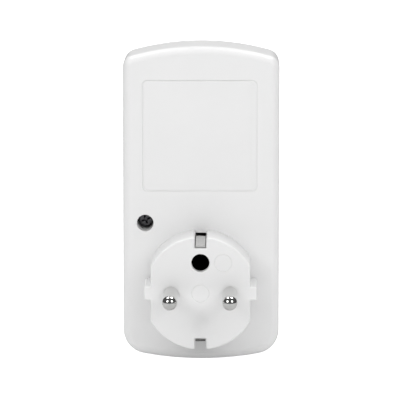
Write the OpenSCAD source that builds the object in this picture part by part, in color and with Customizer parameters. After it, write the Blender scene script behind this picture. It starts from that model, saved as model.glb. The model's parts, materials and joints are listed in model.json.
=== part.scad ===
// Plug-in power meter: a two-part case with an earthed mains plug on the back and an outlet,
// a display and five keys on the front.
// Origin: centre of the plug's face, midway between the two pins. +Z is up, -Y is the way the
// pins point, and the front of the meter faces +Y. Millimetres.

/* [Case] */
// Width of the case
body_w = 51; // [50:0.5:56]
// Height of the case's top above the plug's axis
body_top = 78; // [76:0.5:84]
// Depth of the case's bottom below the plug's axis
body_drop = 25; // [24.5:0.5:30]
// Depth of the case from its rear face to its front face
body_depth = 37; // [37:0.5:42]
// Depth of the rear cover's side wall, to the parting line
rear_depth = 19.5; // [19:0.25:20]
// Thickness of the case's walls
wall = 2.2; // [1.8:0.1:2.4]
// Radius of the arch across the top
top_arch = 85; // [70:1:120]
// Radius of the arch across the bottom
bottom_arch = 104; // [80:1:140]
// Radius of the top corners
top_corner = 4; // [3.5:0.5:8]
// Radius of the bottom corners
bottom_corner = 8; // [5:0.5:10]
// Radius rolled along the edge of the rear face
rear_roll = 3; // [2:0.25:3]

/* [Plug] */
// Distance between the centres of the pins
pin_pitch = 19; // [18.5:0.1:19.5]
// Diameter of a pin
pin_d = 4.8; // [4.7:0.02:4.8]
// Length of a pin from the plug's face
pin_len = 19; // [18.5:0.1:19.5]
// Diameter of the plug
plug_d = 37; // [36:0.1:37.5]
// Distance across the plug's two flats
plug_flats = 32; // [31:0.1:33]
// Depth of the plug in front of the case's rear face
plug_depth = 17; // [16.5:0.25:18]
// Overall width across the guide ribs
rib_span = 36.4; // [36:0.1:37]
// Height of a guide rib
rib_h = 4.4; // [4:0.1:4.6]
// Height of the earth hole above the pins
earth_up = 10; // [9.8:0.1:10.2]

/* [Outlet] */
// Diameter of the outlet's well
well_d = 39.4; // [39:0.1:39.8]
// Depth of the outlet's well
well_depth = 15.7; // [15:0.1:16]
// Length of the outlet's earth pin above the floor of the well
earth_pin_len = 14; // [13:0.5:14.5]
// How far the shutter slides to open the outlet
shutter_travel = 5.6; // [5.4:0.1:5.8]

/* [Display and keys] */
// Width of the display window
window_w = 36; // [32:0.5:36]
// Height of the display window
window_h = 24; // [20:0.5:24]
// Height of the middle of the window above the plug's axis
window_z = 58; // [57:0.5:58.5]
// Width of a bar key
key_w = 7.6; // [7:0.1:7.8]
// Height of a bar key
key_h = 4.8; // [4:0.1:5]
// Diameter of the round key
round_key_d = 7.2; // [6:0.1:8]
// Travel of a key
key_travel = 1; // [0.6:0.1:1]

/* [Hidden] */
$fn = 48;

e = 0.05;                       // how far a cut runs past a face
rear_y = plug_depth;            // rear face of the case
rear_in = rear_y + wall;        // inner side of the rear wall
part_y = rear_y + rear_depth;   // parting line
front_y = rear_y + body_depth;  // front face of the case
front_in = front_y - wall;      // inner side of the front wall
floor_y = front_y - well_depth; // floor of the outlet's well
floor_t = 2.5;                  // thickness of that floor
floor_back = floor_y - floor_t;
pin_x = pin_pitch / 2;
pin_r = pin_d / 2;
neck_r = pin_r - 0.3;           // a pin's neck, where it passes through plastic

shell = "white";
metal = [0.78, 0.78, 0.76];
brass = [0.80, 0.66, 0.38];
copper = [0.78, 0.46, 0.30];
board_green = [0.13, 0.38, 0.22];
black = [0.10, 0.10, 0.11];
key_grey = [0.55, 0.57, 0.60];

/* ---------- shared shapes ---------- */

// A drawing in X and Z, made solid between two depths.
module plate(y0, y1) {
  translate([0, y1, 0]) rotate([90, 0, 0]) linear_extrude(y1 - y0) children();
}

// A round bar along Y.
module rod(x, z, r, y0, y1) {
  translate([x, y1, z]) rotate([90, 0, 0]) cylinder(r = r, h = y1 - y0);
}

// A box given by its two corners.
module block(a, b) {
  translate(a) cube(b - a);
}

// A rectangle with round corners, true arcs.
module rounded(w, h, r) {
  square([w - 2 * r, h], center = true);
  square([w, h - 2 * r], center = true);
  for (sx = [-1, 1], sz = [-1, 1])
    translate([sx * (w / 2 - r), sz * (h / 2 - r)]) circle(r);
}

// A bar with round ends.
module pill(w, h) {
  square([w - h, h], center = true);
  for (s = [-1, 1]) translate([s * (w - h) / 2, 0]) circle(h / 2);
}

// A wire between two points, with round ends.
module wire(a, b, r) {
  d = b - a;
  len = norm(d);
  translate(a)
    rotate([0, acos(d[2] / len), atan2(d[1], d[0])]) cylinder(r = r, h = len, $fn = 24);
  translate(a) sphere(r, $fn = 24);
  translate(b) sphere(r, $fn = 24);
}

function arc(cx, cz, r, from, to, n) =
  [for (i = [0 : n]) [cx + r * cos(from + (to - from) * i / n), cz + r * sin(from + (to - from) * i / n)]];

function inner(points) = [for (i = [1 : len(points) - 2]) points[i]];

// The case's outline, drawn in by `inset` all round: two straight sides, an arch across the
// top and one across the bottom, each running into the sides through a corner arc.
function outline(inset) =
  let (
    half = body_w / 2 - inset,
    top_c = body_top - top_arch,
    low_c = bottom_arch - body_drop,
    rt = max(top_corner - inset, 1),
    rb = max(bottom_corner - inset, 1),
    xt = half - rt,
    xb = half - rb,
    zt = top_c + sqrt(pow(top_arch - inset - rt, 2) - xt * xt),
    zb = low_c - sqrt(pow(bottom_arch - inset - rb, 2) - xb * xb),
    at = atan2(zt - top_c, xt),
    ab = atan2(low_c - zb, xb)
  ) concat(
    arc(xt, zt, rt, 0, at, 5),
    inner(arc(0, top_c, top_arch - inset, at, 180 - at, 12)),
    arc(-xt, zt, rt, 180 - at, 180, 5),
    arc(-xb, zb, rb, 180, 180 + ab, 6),
    inner(arc(0, low_c, bottom_arch - inset, 180 + ab, 360 - ab, 10)),
    arc(xb, zb, rb, 360 - ab, 360, 6)
  );

// A solid skinned over outlines at rising depths. Each ring is [depth, inset].
module loft(rings) {
  n = len(outline(0));
  points = [for (ring = rings) for (p = outline(ring[1])) [p[0], ring[0], p[1]]];
  sides = [for (k = [0 : len(rings) - 2]) for (i = [0 : n - 1]) let (j = (i + 1) % n)
    each [[k * n + i, k * n + j, (k + 1) * n + j], [k * n + i, (k + 1) * n + j, (k + 1) * n + i]]];
  last = (len(rings) - 1) * n;
  caps = [[for (i = [n - 1 : -1 : 0]) i], [for (i = [0 : n - 1]) last + i]];
  polyhedron(points, concat(sides, caps));
}

// Rings of a quarter-round edge of radius r that starts on the face at depth y.
// sign is 1 where the case lies past y, and -1 where it lies before it.
function roll(y, r, sign, steps) =
  [for (i = [0 : steps]) [y + sign * r * (1 - cos(90 * i / steps)), r * (1 - sin(90 * i / steps))]];

/* ---------- case ---------- */

label_x = -0.45;
label_z = 48.95;
recess_w = 37.3;
recess_h = 36.3;
recess_t = 0.35;
label_w = 34.9;
label_h = 35.6;
label_t = 0.15;
label_shift = -0.6;             // the label sits a little to one side of its recess

screw_at = [[-18.2, 20.3], [13.2, 34.3]];
screw_tube_r = 4;
screw_well_r = 2.7;
screw_seat = rear_y + 10;       // where a case screw's head bears
screw_tube_end = screw_seat + 3;
post_r = 2.9;
thread_hole_r = 1.05;
thread_r = 1;

front_roll = 5;
front_rings = concat(
  [[part_y, 0], [front_y - 11, 0.35], [front_y - 7, 0.8]],
  [for (i = [6 : -1 : 0]) let (a = 90 * i / 6)
    [front_y - 4.2 * (1 - cos(a)), 1.2 + (front_roll - 1.2) * (1 - sin(a))]]
);

board_post_at = [[-17.5, 67], [17.5, 67], [-17.5, 31], [17.8, 27]];
board_post_r = 2.4;
board_y = rear_in + 4.8;        // back of the main board
board_t = 1.6;
board_front = board_y + board_t;

plug_ledge = 1.2;               // width of the plug body's rim that lies on the rear face
spigot_wall = 1.2;              // wall of its spigot, which stands in the rear wall's opening
spigot_gap = 0.05;
face_t = 2.5;                   // thickness of the plug's face
notch_w = 3.7;
notch_r = 14.7;                 // inner end of an earth notch, from the plug's axis
notch_slot_r = 17.3;            // outer end of its slot in the rear wall
notch_wall = 0.9;
earth_collar_y = 6;             // inner end of the collar round the earth tube

module plug_outline(shrink = 0) {
  intersection() {
    circle(plug_d / 2 - shrink, $fn = 96);
    square([plug_flats - 2 * shrink, plug_d], center = true);
  }
}

// The opening in the rear wall, drawn in by `gap`: the plug's outline less its ledge, kept back
// from the two earth notches.
module plug_opening(gap = 0) {
  difference() {
    plug_outline(plug_ledge + gap);
    for (s = [-1, 1])
      translate([0, s * (notch_r - notch_wall - gap + 5)])
        square([notch_w + 2 * (notch_wall + gap), 10], center = true);
  }
}

module rear_cover() {
  color(shell) difference() {
    union() {
      difference() {
        loft(concat(roll(rear_y, rear_roll, 1, 5), [[part_y, 0]]));
        loft([[rear_in, wall + 1.2], [rear_in + 0.6, wall + 0.3], [rear_in + 1.6, wall], [part_y + e, wall]]);
      }
      for (p = screw_at) rod(p[0], p[1], screw_tube_r, rear_in - e, screw_tube_end);
      for (p = board_post_at) rod(p[0], p[1], board_post_r, rear_in - e, board_y);
    }
    plate(rear_y - e, rear_in + e) {
      plug_opening();
      for (s = [-1, 1])
        translate([0, s * (notch_r + notch_slot_r) / 2])
          square([notch_w, notch_slot_r - notch_r], center = true);
    }
    for (p = screw_at) {
      rod(p[0], p[1], screw_well_r, rear_y - e, screw_seat);
      rod(p[0], p[1], 1.7, screw_seat - e, screw_tube_end + e);
    }
    for (p = board_post_at) rod(p[0], p[1], thread_hole_r, rear_in + 0.6, board_y + e);
    plate(rear_y - e, rear_y + recess_t)
      translate([label_x, label_z]) rounded(recess_w, recess_h, 1.6);
  }
}

// The hollow round body that carries the pins: it lies on the rear face, with a spigot in its opening.
module plug_body() {
  retainer_boss_end = face_t + 2.3;
  color(shell) difference() {
    union() {
      plate(0, rear_y) plug_outline();
      plate(0, rear_y) rounded(rib_span, rib_h, 0.6);
      plate(rear_y - e, rear_in) plug_opening(spigot_gap);
    }
    difference() {
      plate(face_t, rear_in + e) plug_opening(spigot_wall);
      rod(0, 0, 2.6, 0, retainer_boss_end);
      rod(0, earth_up, 4.2, 0, earth_collar_y);
    }
    for (s = [-1, 1]) {
      plate(-e, rear_y + e) translate([0, s * (notch_r + 2.5)]) square([notch_w, 5], center = true);
      rod(s * pin_x, 0, neck_r + 0.02, -e, face_t + e);
    }
    rod(0, earth_up, 2.9, -e, face_t);
    rod(0, earth_up, 3.05, face_t - e, rear_in + 2 * e);
    rod(0, 0, thread_hole_r, 1.5, retainer_boss_end + e);
  }
}

key_row_z = 40.8;
key_at = [[-15, key_row_z], [-5, key_row_z], [5, key_row_z], [15, key_row_z], [0, 29.5]];
key_gap = 0.25;
display_y = front_in - 5.9;     // back of the display board
display_front = display_y + board_t;
display_screw_at = [[-16.5, 33.5], [7.5, 34]];
well_r = well_d / 2;
well_wall = 1.8;
well_end = floor_back + 1.2;    // inner end of the well's wall, where the insert's flange bears
carrier_screw_x = 16.2;
shutter_half = 13;

module key_shape(i, grow) {
  if (i < 4) pill(key_w + 2 * grow, key_h + 2 * grow);
  else circle(round_key_d / 2 + grow);
}

module front_cover() {
  color(shell) difference() {
    union() {
      difference() {
        loft(front_rings);
        loft([[part_y - e, wall], [front_y - 7, wall + 0.8], [front_y - 3.4, wall + 1.2], [front_in, wall + 2.2]]);
      }
      // lip that locates the front cover inside the rear cover's rim
      difference() {
        loft([[part_y - 2, wall + 0.15], [part_y + 1, wall + 0.15]]);
        loft([[part_y - 2 - e, wall + 1.3], [part_y + 1 + e, wall + 1.3]]);
      }
      plate(well_end, front_in + 0.6) circle(well_r + well_wall, $fn = 96);
      for (p = screw_at) rod(p[0], p[1], post_r, screw_tube_end + 0.2, front_in + e);
      for (p = display_screw_at) rod(p[0], p[1], 2, display_front, front_in + e);
    }
    plate(well_end - e, front_y + e) circle(well_r, $fn = 96);
    for (p = screw_at) rod(p[0], p[1], thread_hole_r, screw_tube_end, front_in - 4);
    for (p = display_screw_at) rod(p[0], p[1], thread_hole_r - 0.1, display_front - e, front_in - 0.4);
    plate(front_in - e, front_y + e)
      translate([0, window_z]) rounded(window_w - 2, window_h - 2, 1.2);
    plate(front_y - 1.4, front_y + e)
      translate([0, window_z]) rounded(window_w, window_h, 1.6);
    for (i = [0 : 4])
      plate(front_in - e, front_y + e) translate(key_at[i]) key_shape(i, key_gap);
  }
}

// The floor of the outlet's well, with a flange behind the well's wall.
module outlet_insert() {
  color(shell) difference() {
    union() {
      plate(floor_back, floor_y) circle(well_r - 0.05, $fn = 96);
      plate(floor_back, well_end) circle(well_r + well_wall, $fn = 96);
    }
    for (s = [-1, 1]) {
      rod(s * pin_x, 0, 2.75, floor_back - e, floor_y + e);
      rod(s * carrier_screw_x, 0, thread_hole_r, floor_back - e, floor_back + 1.8);
    }
    rod(0, earth_up, neck_r + 0.05, floor_back - e, floor_y + e);
  }
}

module rating_label() {
  color([0.93, 0.93, 0.93]) plate(rear_y + recess_t - label_t, rear_y + recess_t)
    translate([label_x + label_shift, label_z]) rounded(label_w, label_h, 1.2);
}

// A cross-head screw along Y: its head lies before y, its shank runs on to y_end.
module screw(x, z, y, y_end, head_r, head_h, shank_r) {
  difference() {
    union() {
      rod(x, z, head_r, y - head_h, y);
      rod(x, z, shank_r, y - e, y_end);
    }
    for (turn = [0, 90])
      translate([x, y - head_h, z]) rotate([0, turn + 45, 0])
        cube([head_r * 1.25, head_h * 1.1, head_r * 0.34], center = true);
  }
}

// The same screw driven from the other side: its head lies past y, its shank ends at y_end.
module screw_from_front(x, z, y, y_end, head_r, head_h, shank_r) {
  translate([0, 2 * y, 0]) mirror([0, 1, 0]) screw(x, z, y, 2 * y - y_end, head_r, head_h, shank_r);
}

module case_screws() {
  color(metal) for (p = screw_at) screw(p[0], p[1], screw_seat, screw_seat + 15, 2.5, 2, thread_r);
}

/* ---------- plug ---------- */

module mains_pin(x) {
  color(metal) {
    rod(x, 0, pin_r, -(pin_len - pin_r), 0);
    rod(x, 0, neck_r, -e, face_t + 0.1);
    translate([x, -(pin_len - pin_r), 0]) sphere(pin_r);
    rod(x, 0, 3.8, face_t, face_t + 1.5);
    rod(x, 0, 1.8, face_t + 1.4, face_t + 5.9);
  }
}

module live_pin() mains_pin(pin_x);
module neutral_pin() mains_pin(-pin_x);

earth_bar_y = rear_in + 0.2;    // rear side of the earth bracket's back
bar_t = 0.8;

module plug_earth_tube() {
  color(metal) difference() {
    rod(0, earth_up, 3, face_t, earth_bar_y);
    rod(0, earth_up, 2.45, face_t - e, earth_bar_y - 1.9);
  }
}

// One face of a sprung arm: it lies along the notch and curls in by `curl` at the plug's face.
function arm_side(z, curl, s) = [
  [earth_bar_y + bar_t, s * z],
  [7, s * z],
  [3.6, s * (z - 0.15 * curl)],
  [1.8, s * (z - 0.5 * curl)],
  [0.7, s * (z - curl)]
];

module earth_bracket() {
  color(metal) translate([-1.6, 0, 0]) rotate([90, 0, 90]) linear_extrude(3.2) {
    for (s = [-1, 1]) {
      near = arm_side(15.6, 0.85, s);
      far = arm_side(16.4, 1.3, s);
      polygon(concat(far, [for (i = [4 : -1 : 0]) near[i]]));
    }
    translate([earth_bar_y, -16]) square([bar_t, 32]);
  }
}

pad_y = face_t + 1.5;           // rear side of the bars' pads on the pins
retainer_y = pad_y + bar_t;
retainer_t = 2.4;

module pin_retainer() {
  color([0.90, 0.90, 0.88]) difference() {
    plate(retainer_y, retainer_y + retainer_t) rounded(26, 9, 2);
    for (s = [-1, 1]) rod(s * pin_x, 0, 1.9, retainer_y - e, retainer_y + retainer_t + e);
    rod(0, 0, 1.3, retainer_y - e, retainer_y + retainer_t + e);
  }
}

module retainer_screw() {
  color(metal) screw_from_front(0, 0, retainer_y + retainer_t, 2.2, 2.2, 1.6, thread_r);
}

/* ---------- outlet ---------- */

carrier_y = rear_in + 1.8;      // rear side of the contact carrier
carrier_end = floor_back - 3.6;
shutter_y = floor_back - 2.6;
shutter_t = 2;
contact_r = 2.43;

module outlet_earth_pin() {
  tip = floor_y + earth_pin_len - pin_r;
  color(metal) {
    rod(0, earth_up, pin_r, floor_y, tip);
    rod(0, earth_up, neck_r, earth_bar_y + bar_t, floor_y + e);
    translate([0, tip, earth_up]) sphere(pin_r);
    rod(0, earth_up, 3.2, floor_back - 1.1, floor_back - 0.1);
  }
}

module shutter() {
  color([0.85, 0.30, 0.20]) difference() {
    plate(shutter_y, shutter_y + shutter_t)
      translate([0, 2.8]) rounded(2 * shutter_half, 12, 1.2);
    plate(shutter_y - e, shutter_y + shutter_t + e)
      translate([0, 7.2]) square([8, 9.4], center = true);
    for (s = [-1, 1])
      rod(s * pin_x, shutter_travel, 2.8, shutter_y - e, shutter_y + shutter_t + e);
  }
}

spring_low = -14.55;
spring_high = -3.25;
spring_r = 1.1;
spring_wire = 0.25;
spring_turns = 8;

// Ring k of a round wire wound on a helix about Z: its centre runs round the coil's circle and
// rises evenly, and its own circle lies in the coil's radius and Z.
function spring_ring(k, steps, sides) =
  let (a = 360 * spring_turns * k / steps,
       z = spring_low + spring_wire + (spring_high - spring_low - 2 * spring_wire) * k / steps)
  [for (i = [0 : sides - 1]) let (b = 360 * i / sides, r = spring_r + spring_wire * cos(b))
    [r * cos(a), r * sin(a), z + spring_wire * sin(b)]];

module shutter_spring() {
  steps = spring_turns * 14;
  sides = 6;
  points = [for (k = [0 : steps]) each spring_ring(k, steps, sides)];
  skin = [for (k = [0 : steps - 1]) for (i = [0 : sides - 1]) let (j = (i + 1) % sides)
    each [[k * sides + i, (k + 1) * sides + j, k * sides + j],
          [k * sides + i, (k + 1) * sides + i, (k + 1) * sides + j]]];
  ends = [[for (i = [0 : sides - 1]) i], [for (i = [sides - 1 : -1 : 0]) steps * sides + i]];
  color(metal) translate([0, shutter_y + shutter_t / 2, 0]) polyhedron(points, concat(skin, ends));
}

// A rolled contact: a slit tube with a flange and a solder lug at its inner end.
module contact(s) {
  color(brass) difference() {
    union() {
      rod(s * pin_x, 0, 3.3, carrier_y - bar_t, carrier_end - 0.2);
      rod(s * pin_x, 0, 4.3, carrier_y - bar_t, carrier_y);
      block([s * 11.9 - 1.3, carrier_y - bar_t, 2.5], [s * 11.9 + 1.3, carrier_y, 8.5]);
    }
    rod(s * pin_x, 0, contact_r, carrier_y - bar_t - e, carrier_end);
    block([s * pin_x - 0.3, carrier_y + 1, -4], [s * pin_x + 0.3, carrier_end, -2]);
  }
}

module live_contact() contact(1);
module neutral_contact() contact(-1);

// The plate round the two contacts, with its two bosses against the outlet's floor, two guides for
// the shutter, and an arm whose ledge the shutter's spring stands on.
module contact_carrier() {
  rib_y = carrier_end - 2;
  guide_end = floor_back - 0.1;
  color([0.92, 0.92, 0.90]) difference() {
    union() {
      plate(carrier_y, carrier_end) rounded(38, 13, 2);
      for (s = [-1, 1]) {
        rod(s * carrier_screw_x, 0, 2.4, carrier_end - e, floor_back);
        mirror([s > 0 ? 0 : 1, 0, 0])
          block([shutter_half + 0.3, rib_y, -15], [shutter_half + 1.5, guide_end, 9]);
      }
      block([-2.5, rib_y, -16.2], [2.5, carrier_end, -6]);
      block([-2.5, rib_y, -16.2], [2.5, guide_end, -14.6]);
    }
    for (s = [-1, 1]) {
      rod(s * pin_x, 0, 3.7, carrier_y - e, carrier_end + e);
      rod(s * carrier_screw_x, 0, 1.3, carrier_y - e, floor_back + e);
    }
  }
}

module carrier_screws() {
  color(metal) for (s = [-1, 1])
    screw(s * carrier_screw_x, 0, carrier_y, floor_back + 1.6, 2.2, 1.5, thread_r);
}

/* ---------- current path ---------- */

tab_z = 26.2;                   // underside of the tabs that pass through the main board
tab_end = board_front + 1.4;

// Pad on a pin's tail, a leg through the plug's hollow, and a strip behind the outlet.
module live_in_bar() {
  color(copper) difference() {
    union() {
      block([6, pad_y, -2.6], [12, pad_y + bar_t, 2.6]);
      block([6, pad_y, 2.5], [8.6, pad_y + bar_t, 12.8]);
      block([6, pad_y, 12], [8.6, earth_bar_y + bar_t, 12.8]);
      block([6, earth_bar_y, 12], [8.6, earth_bar_y + bar_t, tab_z + bar_t]);
      block([6, earth_bar_y, tab_z], [8.6, tab_end, tab_z + bar_t]);
    }
    rod(pin_x, 0, 1.85, pad_y - e, pad_y + bar_t + e);
  }
}

module live_out_bar() {
  color(copper) {
    block([10.6, earth_bar_y, 4.9], [13.2, earth_bar_y + bar_t, tab_z + bar_t]);
    block([10.6, earth_bar_y, tab_z], [13.2, tab_end, tab_z + bar_t]);
  }
}

module neutral_bar() {
  color(copper) difference() {
    union() {
      block([-12, pad_y, -2.6], [-7, pad_y + bar_t, 2.6]);
      block([-9.6, pad_y, -12.8], [-7, pad_y + bar_t, -2.5]);
      block([-9.6, pad_y, -12.8], [-7, earth_bar_y + bar_t, -12]);
      block([-9.6, earth_bar_y, -12.8], [-7, earth_bar_y + bar_t, -3]);
    }
    rod(-pin_x, 0, 1.85, pad_y - e, pad_y + bar_t + e);
  }
}

module sense_lead() {
  r = 0.7;
  y = carrier_y + r;
  color("steelblue") difference() {
    union() {
      wire([-11.9, y, 7.4], [-11.9, y, 28], r);
      wire([-11.9, y, 28], [-11.9, board_y, 28], r);
    }
    block([-14, board_y, 25], [-10, board_y + 3, 31]);
  }
}

module shunt_resistor() {
  z = tab_z + bar_t + 0.2;
  color(copper) for (box = [
    [[6.6, board_front, z], [8, board_front + 5.4, z + 1]],
    [[11.2, board_front, z], [12.6, board_front + 5.4, z + 1]],
    [[6.6, board_front + 4.4, z], [12.6, board_front + 5.4, z + 1]]
  ]) block(box[0], box[1]);
}

/* ---------- main board ---------- */

module main_board() {
  color(board_green) difference() {
    plate(board_y, board_front) translate([0, 47.5]) rounded(41, 47, 2);
    for (p = screw_at) rod(p[0], p[1], screw_tube_r + 0.4, board_y - e, board_front + e);
    for (p = board_post_at) rod(p[0], p[1], 1.2, board_y - e, board_front + e);
    for (x = [7.3, 11.9])
      block([x - 1.5, board_y - e, tab_z - 0.2], [x + 1.5, board_front + e, tab_z + bar_t + 0.2]);
  }
}

module board_screws() {
  color(metal) for (p = board_post_at)
    screw_from_front(p[0], p[1], board_front, board_front - 5, 1.9, 1.2, thread_r);
}

module film_capacitor() {
  color([0.20, 0.35, 0.62]) {
    plate(board_front + 0.3, board_front + 11.5) translate([-6, 61.8]) rounded(18, 7.5, 0.8);
    for (x = [-13.5, 1.5]) rod(x, 61.8, 0.4, board_front, board_front + 0.4);
  }
}

module varistor() {
  color([0.15, 0.35, 0.70]) {
    translate([12, board_front + 6, 60]) cylinder(r = 5, h = 4);
    for (x = [9, 15]) rod(x, 62, 0.4, board_front, board_front + 5);
  }
}

module smoothing_capacitors() {
  color(black) for (c = [[-13.5, 51, 4, 11.5], [-3.8, 51.5, 2.5, 7]]) {
    rod(c[0], c[1], c[2], board_front + 0.3, board_front + c[3]);
    for (s = [-1, 1]) rod(c[0] + s * 1.2, c[1], 0.3, board_front, board_front + 0.4);
  }
}

// A body along Z on two leads that bend down into the board.
module axial(x, z, r, len, reach) {
  y = board_front + r + 0.4;
  translate([x, y, z - len / 2]) cylinder(r = r, h = len);
  translate([x, y, z - reach]) cylinder(r = 0.35, h = 2 * reach, $fn = 24);
  for (s = [-1, 1]) rod(x, z + s * (reach - 0.35), 0.35, board_front, y);
}

module rectifier_diodes() {
  color(black) for (i = [0 : 3]) axial(4 + 3.6 * i, 52.5, 1.3, 4.5, 4.2);
}

module fusible_resistor() {
  color([0.45, 0.60, 0.50]) axial(18, 43.5, 1.8, 8.5, 6.2);
}

// A chip with two rows of legs: w across the legs, h along them, standing on the face at y.
module chip(x, z, w, h, t, legs, y, side) {
  far = y + side * (t + 0.15);
  near = y + side * 0.15;
  block([x - w / 2, min(near, far), z - h / 2], [x + w / 2, max(near, far), z + h / 2]);
  pitch = h / legs;
  for (i = [0 : legs - 1], s = [-1, 1]) {
    lz = z + (i - (legs - 1) / 2) * pitch;
    foot = y + side * 0.5;
    block([x + s * (w / 2 + 0.5) - 0.6, min(y, foot), lz - pitch * 0.2],
      [x + s * (w / 2 + 0.5) + 0.6, max(y, foot), lz + pitch * 0.2]);
  }
}

module metering_chip() {
  color(black) chip(3.5, 42.8, 4, 10, 1.5, 8, board_front, 1);
}

module quartz_crystal() {
  color(metal) {
    plate(board_front + 0.3, board_front + 4.5) translate([-8, 42.5]) pill(11, 4.4);
    for (s = [-1, 1]) rod(-8 + s * 2.4, 42.5, 0.3, board_front, board_front + 0.4);
  }
}

battery_r = 5.6;
battery_z = 33.2;

module backup_battery() {
  color([0.25, 0.55, 0.30]) translate([-13, board_front + battery_r + 0.2, battery_z])
    rotate([0, 90, 0]) cylinder(r = battery_r, h = 17);
}

module battery_tabs() {
  color(metal) for (x = [-13.4, 4])
    block([x, board_front, battery_z - 2], [x + 0.4, board_front + 8, battery_z + 2]);
}

module board_connector() {
  color(black) {
    block([-8, board_front, 67.1], [8, board_front + 2.5, 69.7]);
    for (i = [0 : 5]) {
      x = (i - 2.5) * 2.54;
      block([x - 0.32, board_front + 2.4, 68.1], [x + 0.32, display_y, 68.74]);
    }
  }
}

/* ---------- display and keys ---------- */

module display_board() {
  color(board_green) difference() {
    plate(display_y, display_front) translate([0, 48]) rounded(41, 47, 1.5);
    for (p = screw_at) rod(p[0], p[1], post_r + 0.4, display_y - e, display_front + e);
    for (p = display_screw_at) rod(p[0], p[1], 1.1, display_y - e, display_front + e);
  }
}

module display_screws() {
  color(metal) for (p = display_screw_at)
    screw(p[0], p[1], display_y, display_front + 3, 1.8, 1.2, thread_r - 0.1);
}

module controller_chip() {
  color(black) chip(0, 55, 9, 10, 1.5, 12, display_y, -1);
}

lcd_y = display_front + 1.1;
lcd_t = 2.6;
lcd_w = window_w - 1;
lcd_h = window_h - 1;

module lcd_panel() {
  color([0.62, 0.68, 0.60]) plate(lcd_y, lcd_y + lcd_t)
    translate([0, window_z]) square([lcd_w, lcd_h], center = true);
}

module lcd_frame() {
  color("white") difference() {
    plate(display_front, lcd_y + lcd_t + 0.4) translate([0, window_z]) rounded(38, 25.6, 1);
    plate(display_front - e, lcd_y + lcd_t)
      translate([0, window_z]) square([lcd_w + 0.2, lcd_h + 0.2], center = true);
    plate(display_front, lcd_y + lcd_t + 1)
      translate([0, window_z]) square([lcd_w - 1.6, lcd_h - 1.6], center = true);
  }
}

module zebra_strips() {
  color(black) for (s = [-1, 1])
    plate(display_front, lcd_y) translate([0, window_z + s * (lcd_h / 2 - 1.3)])
      square([32, 1.8], center = true);
}

module display_window() {
  color([0.75, 0.80, 0.82, 0.4]) plate(front_y - 1.35, front_y - 0.15)
    translate([0, window_z]) rounded(window_w - 0.2, window_h - 0.2, 1.5);
}

mat_t = 0.6;
collar_r = 2.3;

module keypad_mat() {
  color([0.50, 0.50, 0.52]) difference() {
    union() {
      plate(display_front, display_front + mat_t)
        translate([0, 34.8]) rounded(39, 19.8, 1);
      for (p = key_at) rod(p[0], p[1], collar_r + 0.8, display_front, display_front + mat_t + 1.4);
    }
    for (p = key_at) rod(p[0], p[1], collar_r, display_front - e, display_front + 3);
    for (p = screw_at) rod(p[0], p[1], post_r + 0.4, display_front - e, display_front + 3);
    for (p = display_screw_at) rod(p[0], p[1], 2.3, display_front - e, display_front + 3);
  }
}

key_top = front_y + 1;
flange_y = front_in - 1.1;      // inner side of a key's flange
pill_t = 0.3;
pill_y = display_front + key_travel + 0.1;

// A key: its cap stands out of the front face, a flange keeps it in and a stem carries its pill.
module key(i) {
  color(key_grey) {
    plate(flange_y, key_top) translate(key_at[i]) key_shape(i, 0);
    plate(flange_y, flange_y + 1) translate(key_at[i]) key_shape(i, 1);
    rod(key_at[i][0], key_at[i][1], 1.6, pill_y + pill_t, flange_y + e);
  }
}

module key_pill(i) {
  color(black) rod(key_at[i][0], key_at[i][1], 1.5, pill_y, pill_y + pill_t);
}

module cost_key() key(0);
module energy_key() key(1);
module down_key() key(2);
module up_key() key(3);
module mode_key() key(4);
module cost_pill() key_pill(0);
module energy_pill() key_pill(1);
module down_pill() key_pill(2);
module up_pill() key_pill(3);
module mode_pill() key_pill(4);

rear_cover();
front_cover();
plug_body();
outlet_insert();
rating_label();
case_screws();
live_pin();
neutral_pin();
plug_earth_tube();
earth_bracket();
pin_retainer();
retainer_screw();
outlet_earth_pin();
shutter();
shutter_spring();
live_contact();
neutral_contact();
contact_carrier();
carrier_screws();
live_in_bar();
live_out_bar();
neutral_bar();
sense_lead();
shunt_resistor();
main_board();
board_screws();
film_capacitor();
varistor();
smoothing_capacitors();
rectifier_diodes();
fusible_resistor();
metering_chip();
quartz_crystal();
backup_battery();
battery_tabs();
board_connector();
display_board();
display_screws();
controller_chip();
lcd_panel();
lcd_frame();
zebra_strips();
display_window();
keypad_mat();
cost_key();
energy_key();
down_key();
up_key();
mode_key();
cost_pill();
energy_pill();
down_pill();
up_pill();
mode_pill();
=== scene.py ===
"""Visible pieces and finishes of a plug-in power meter, built round its CAD frame.

Shapes are worked out in millimetres, in the frame's own axes: +X to the right seen from the plug's
side, +Y towards the outlet and the display, +Z up. A loop is an outline in X and Z, counter-clockwise
seen from the front, and a profile is a list of (depth along Y, distance drawn in) carried round it.
"""

import json
from math import acos, cos, degrees, pi, radians, sin

import bmesh
import bpy
import numpy as np
from bpy.props import FloatProperty, FloatVectorProperty, PointerProperty
from bpy.types import Operator, Panel, PropertyGroup
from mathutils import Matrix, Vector
from mathutils.geometry import delaunay_2d_cdt


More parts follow.
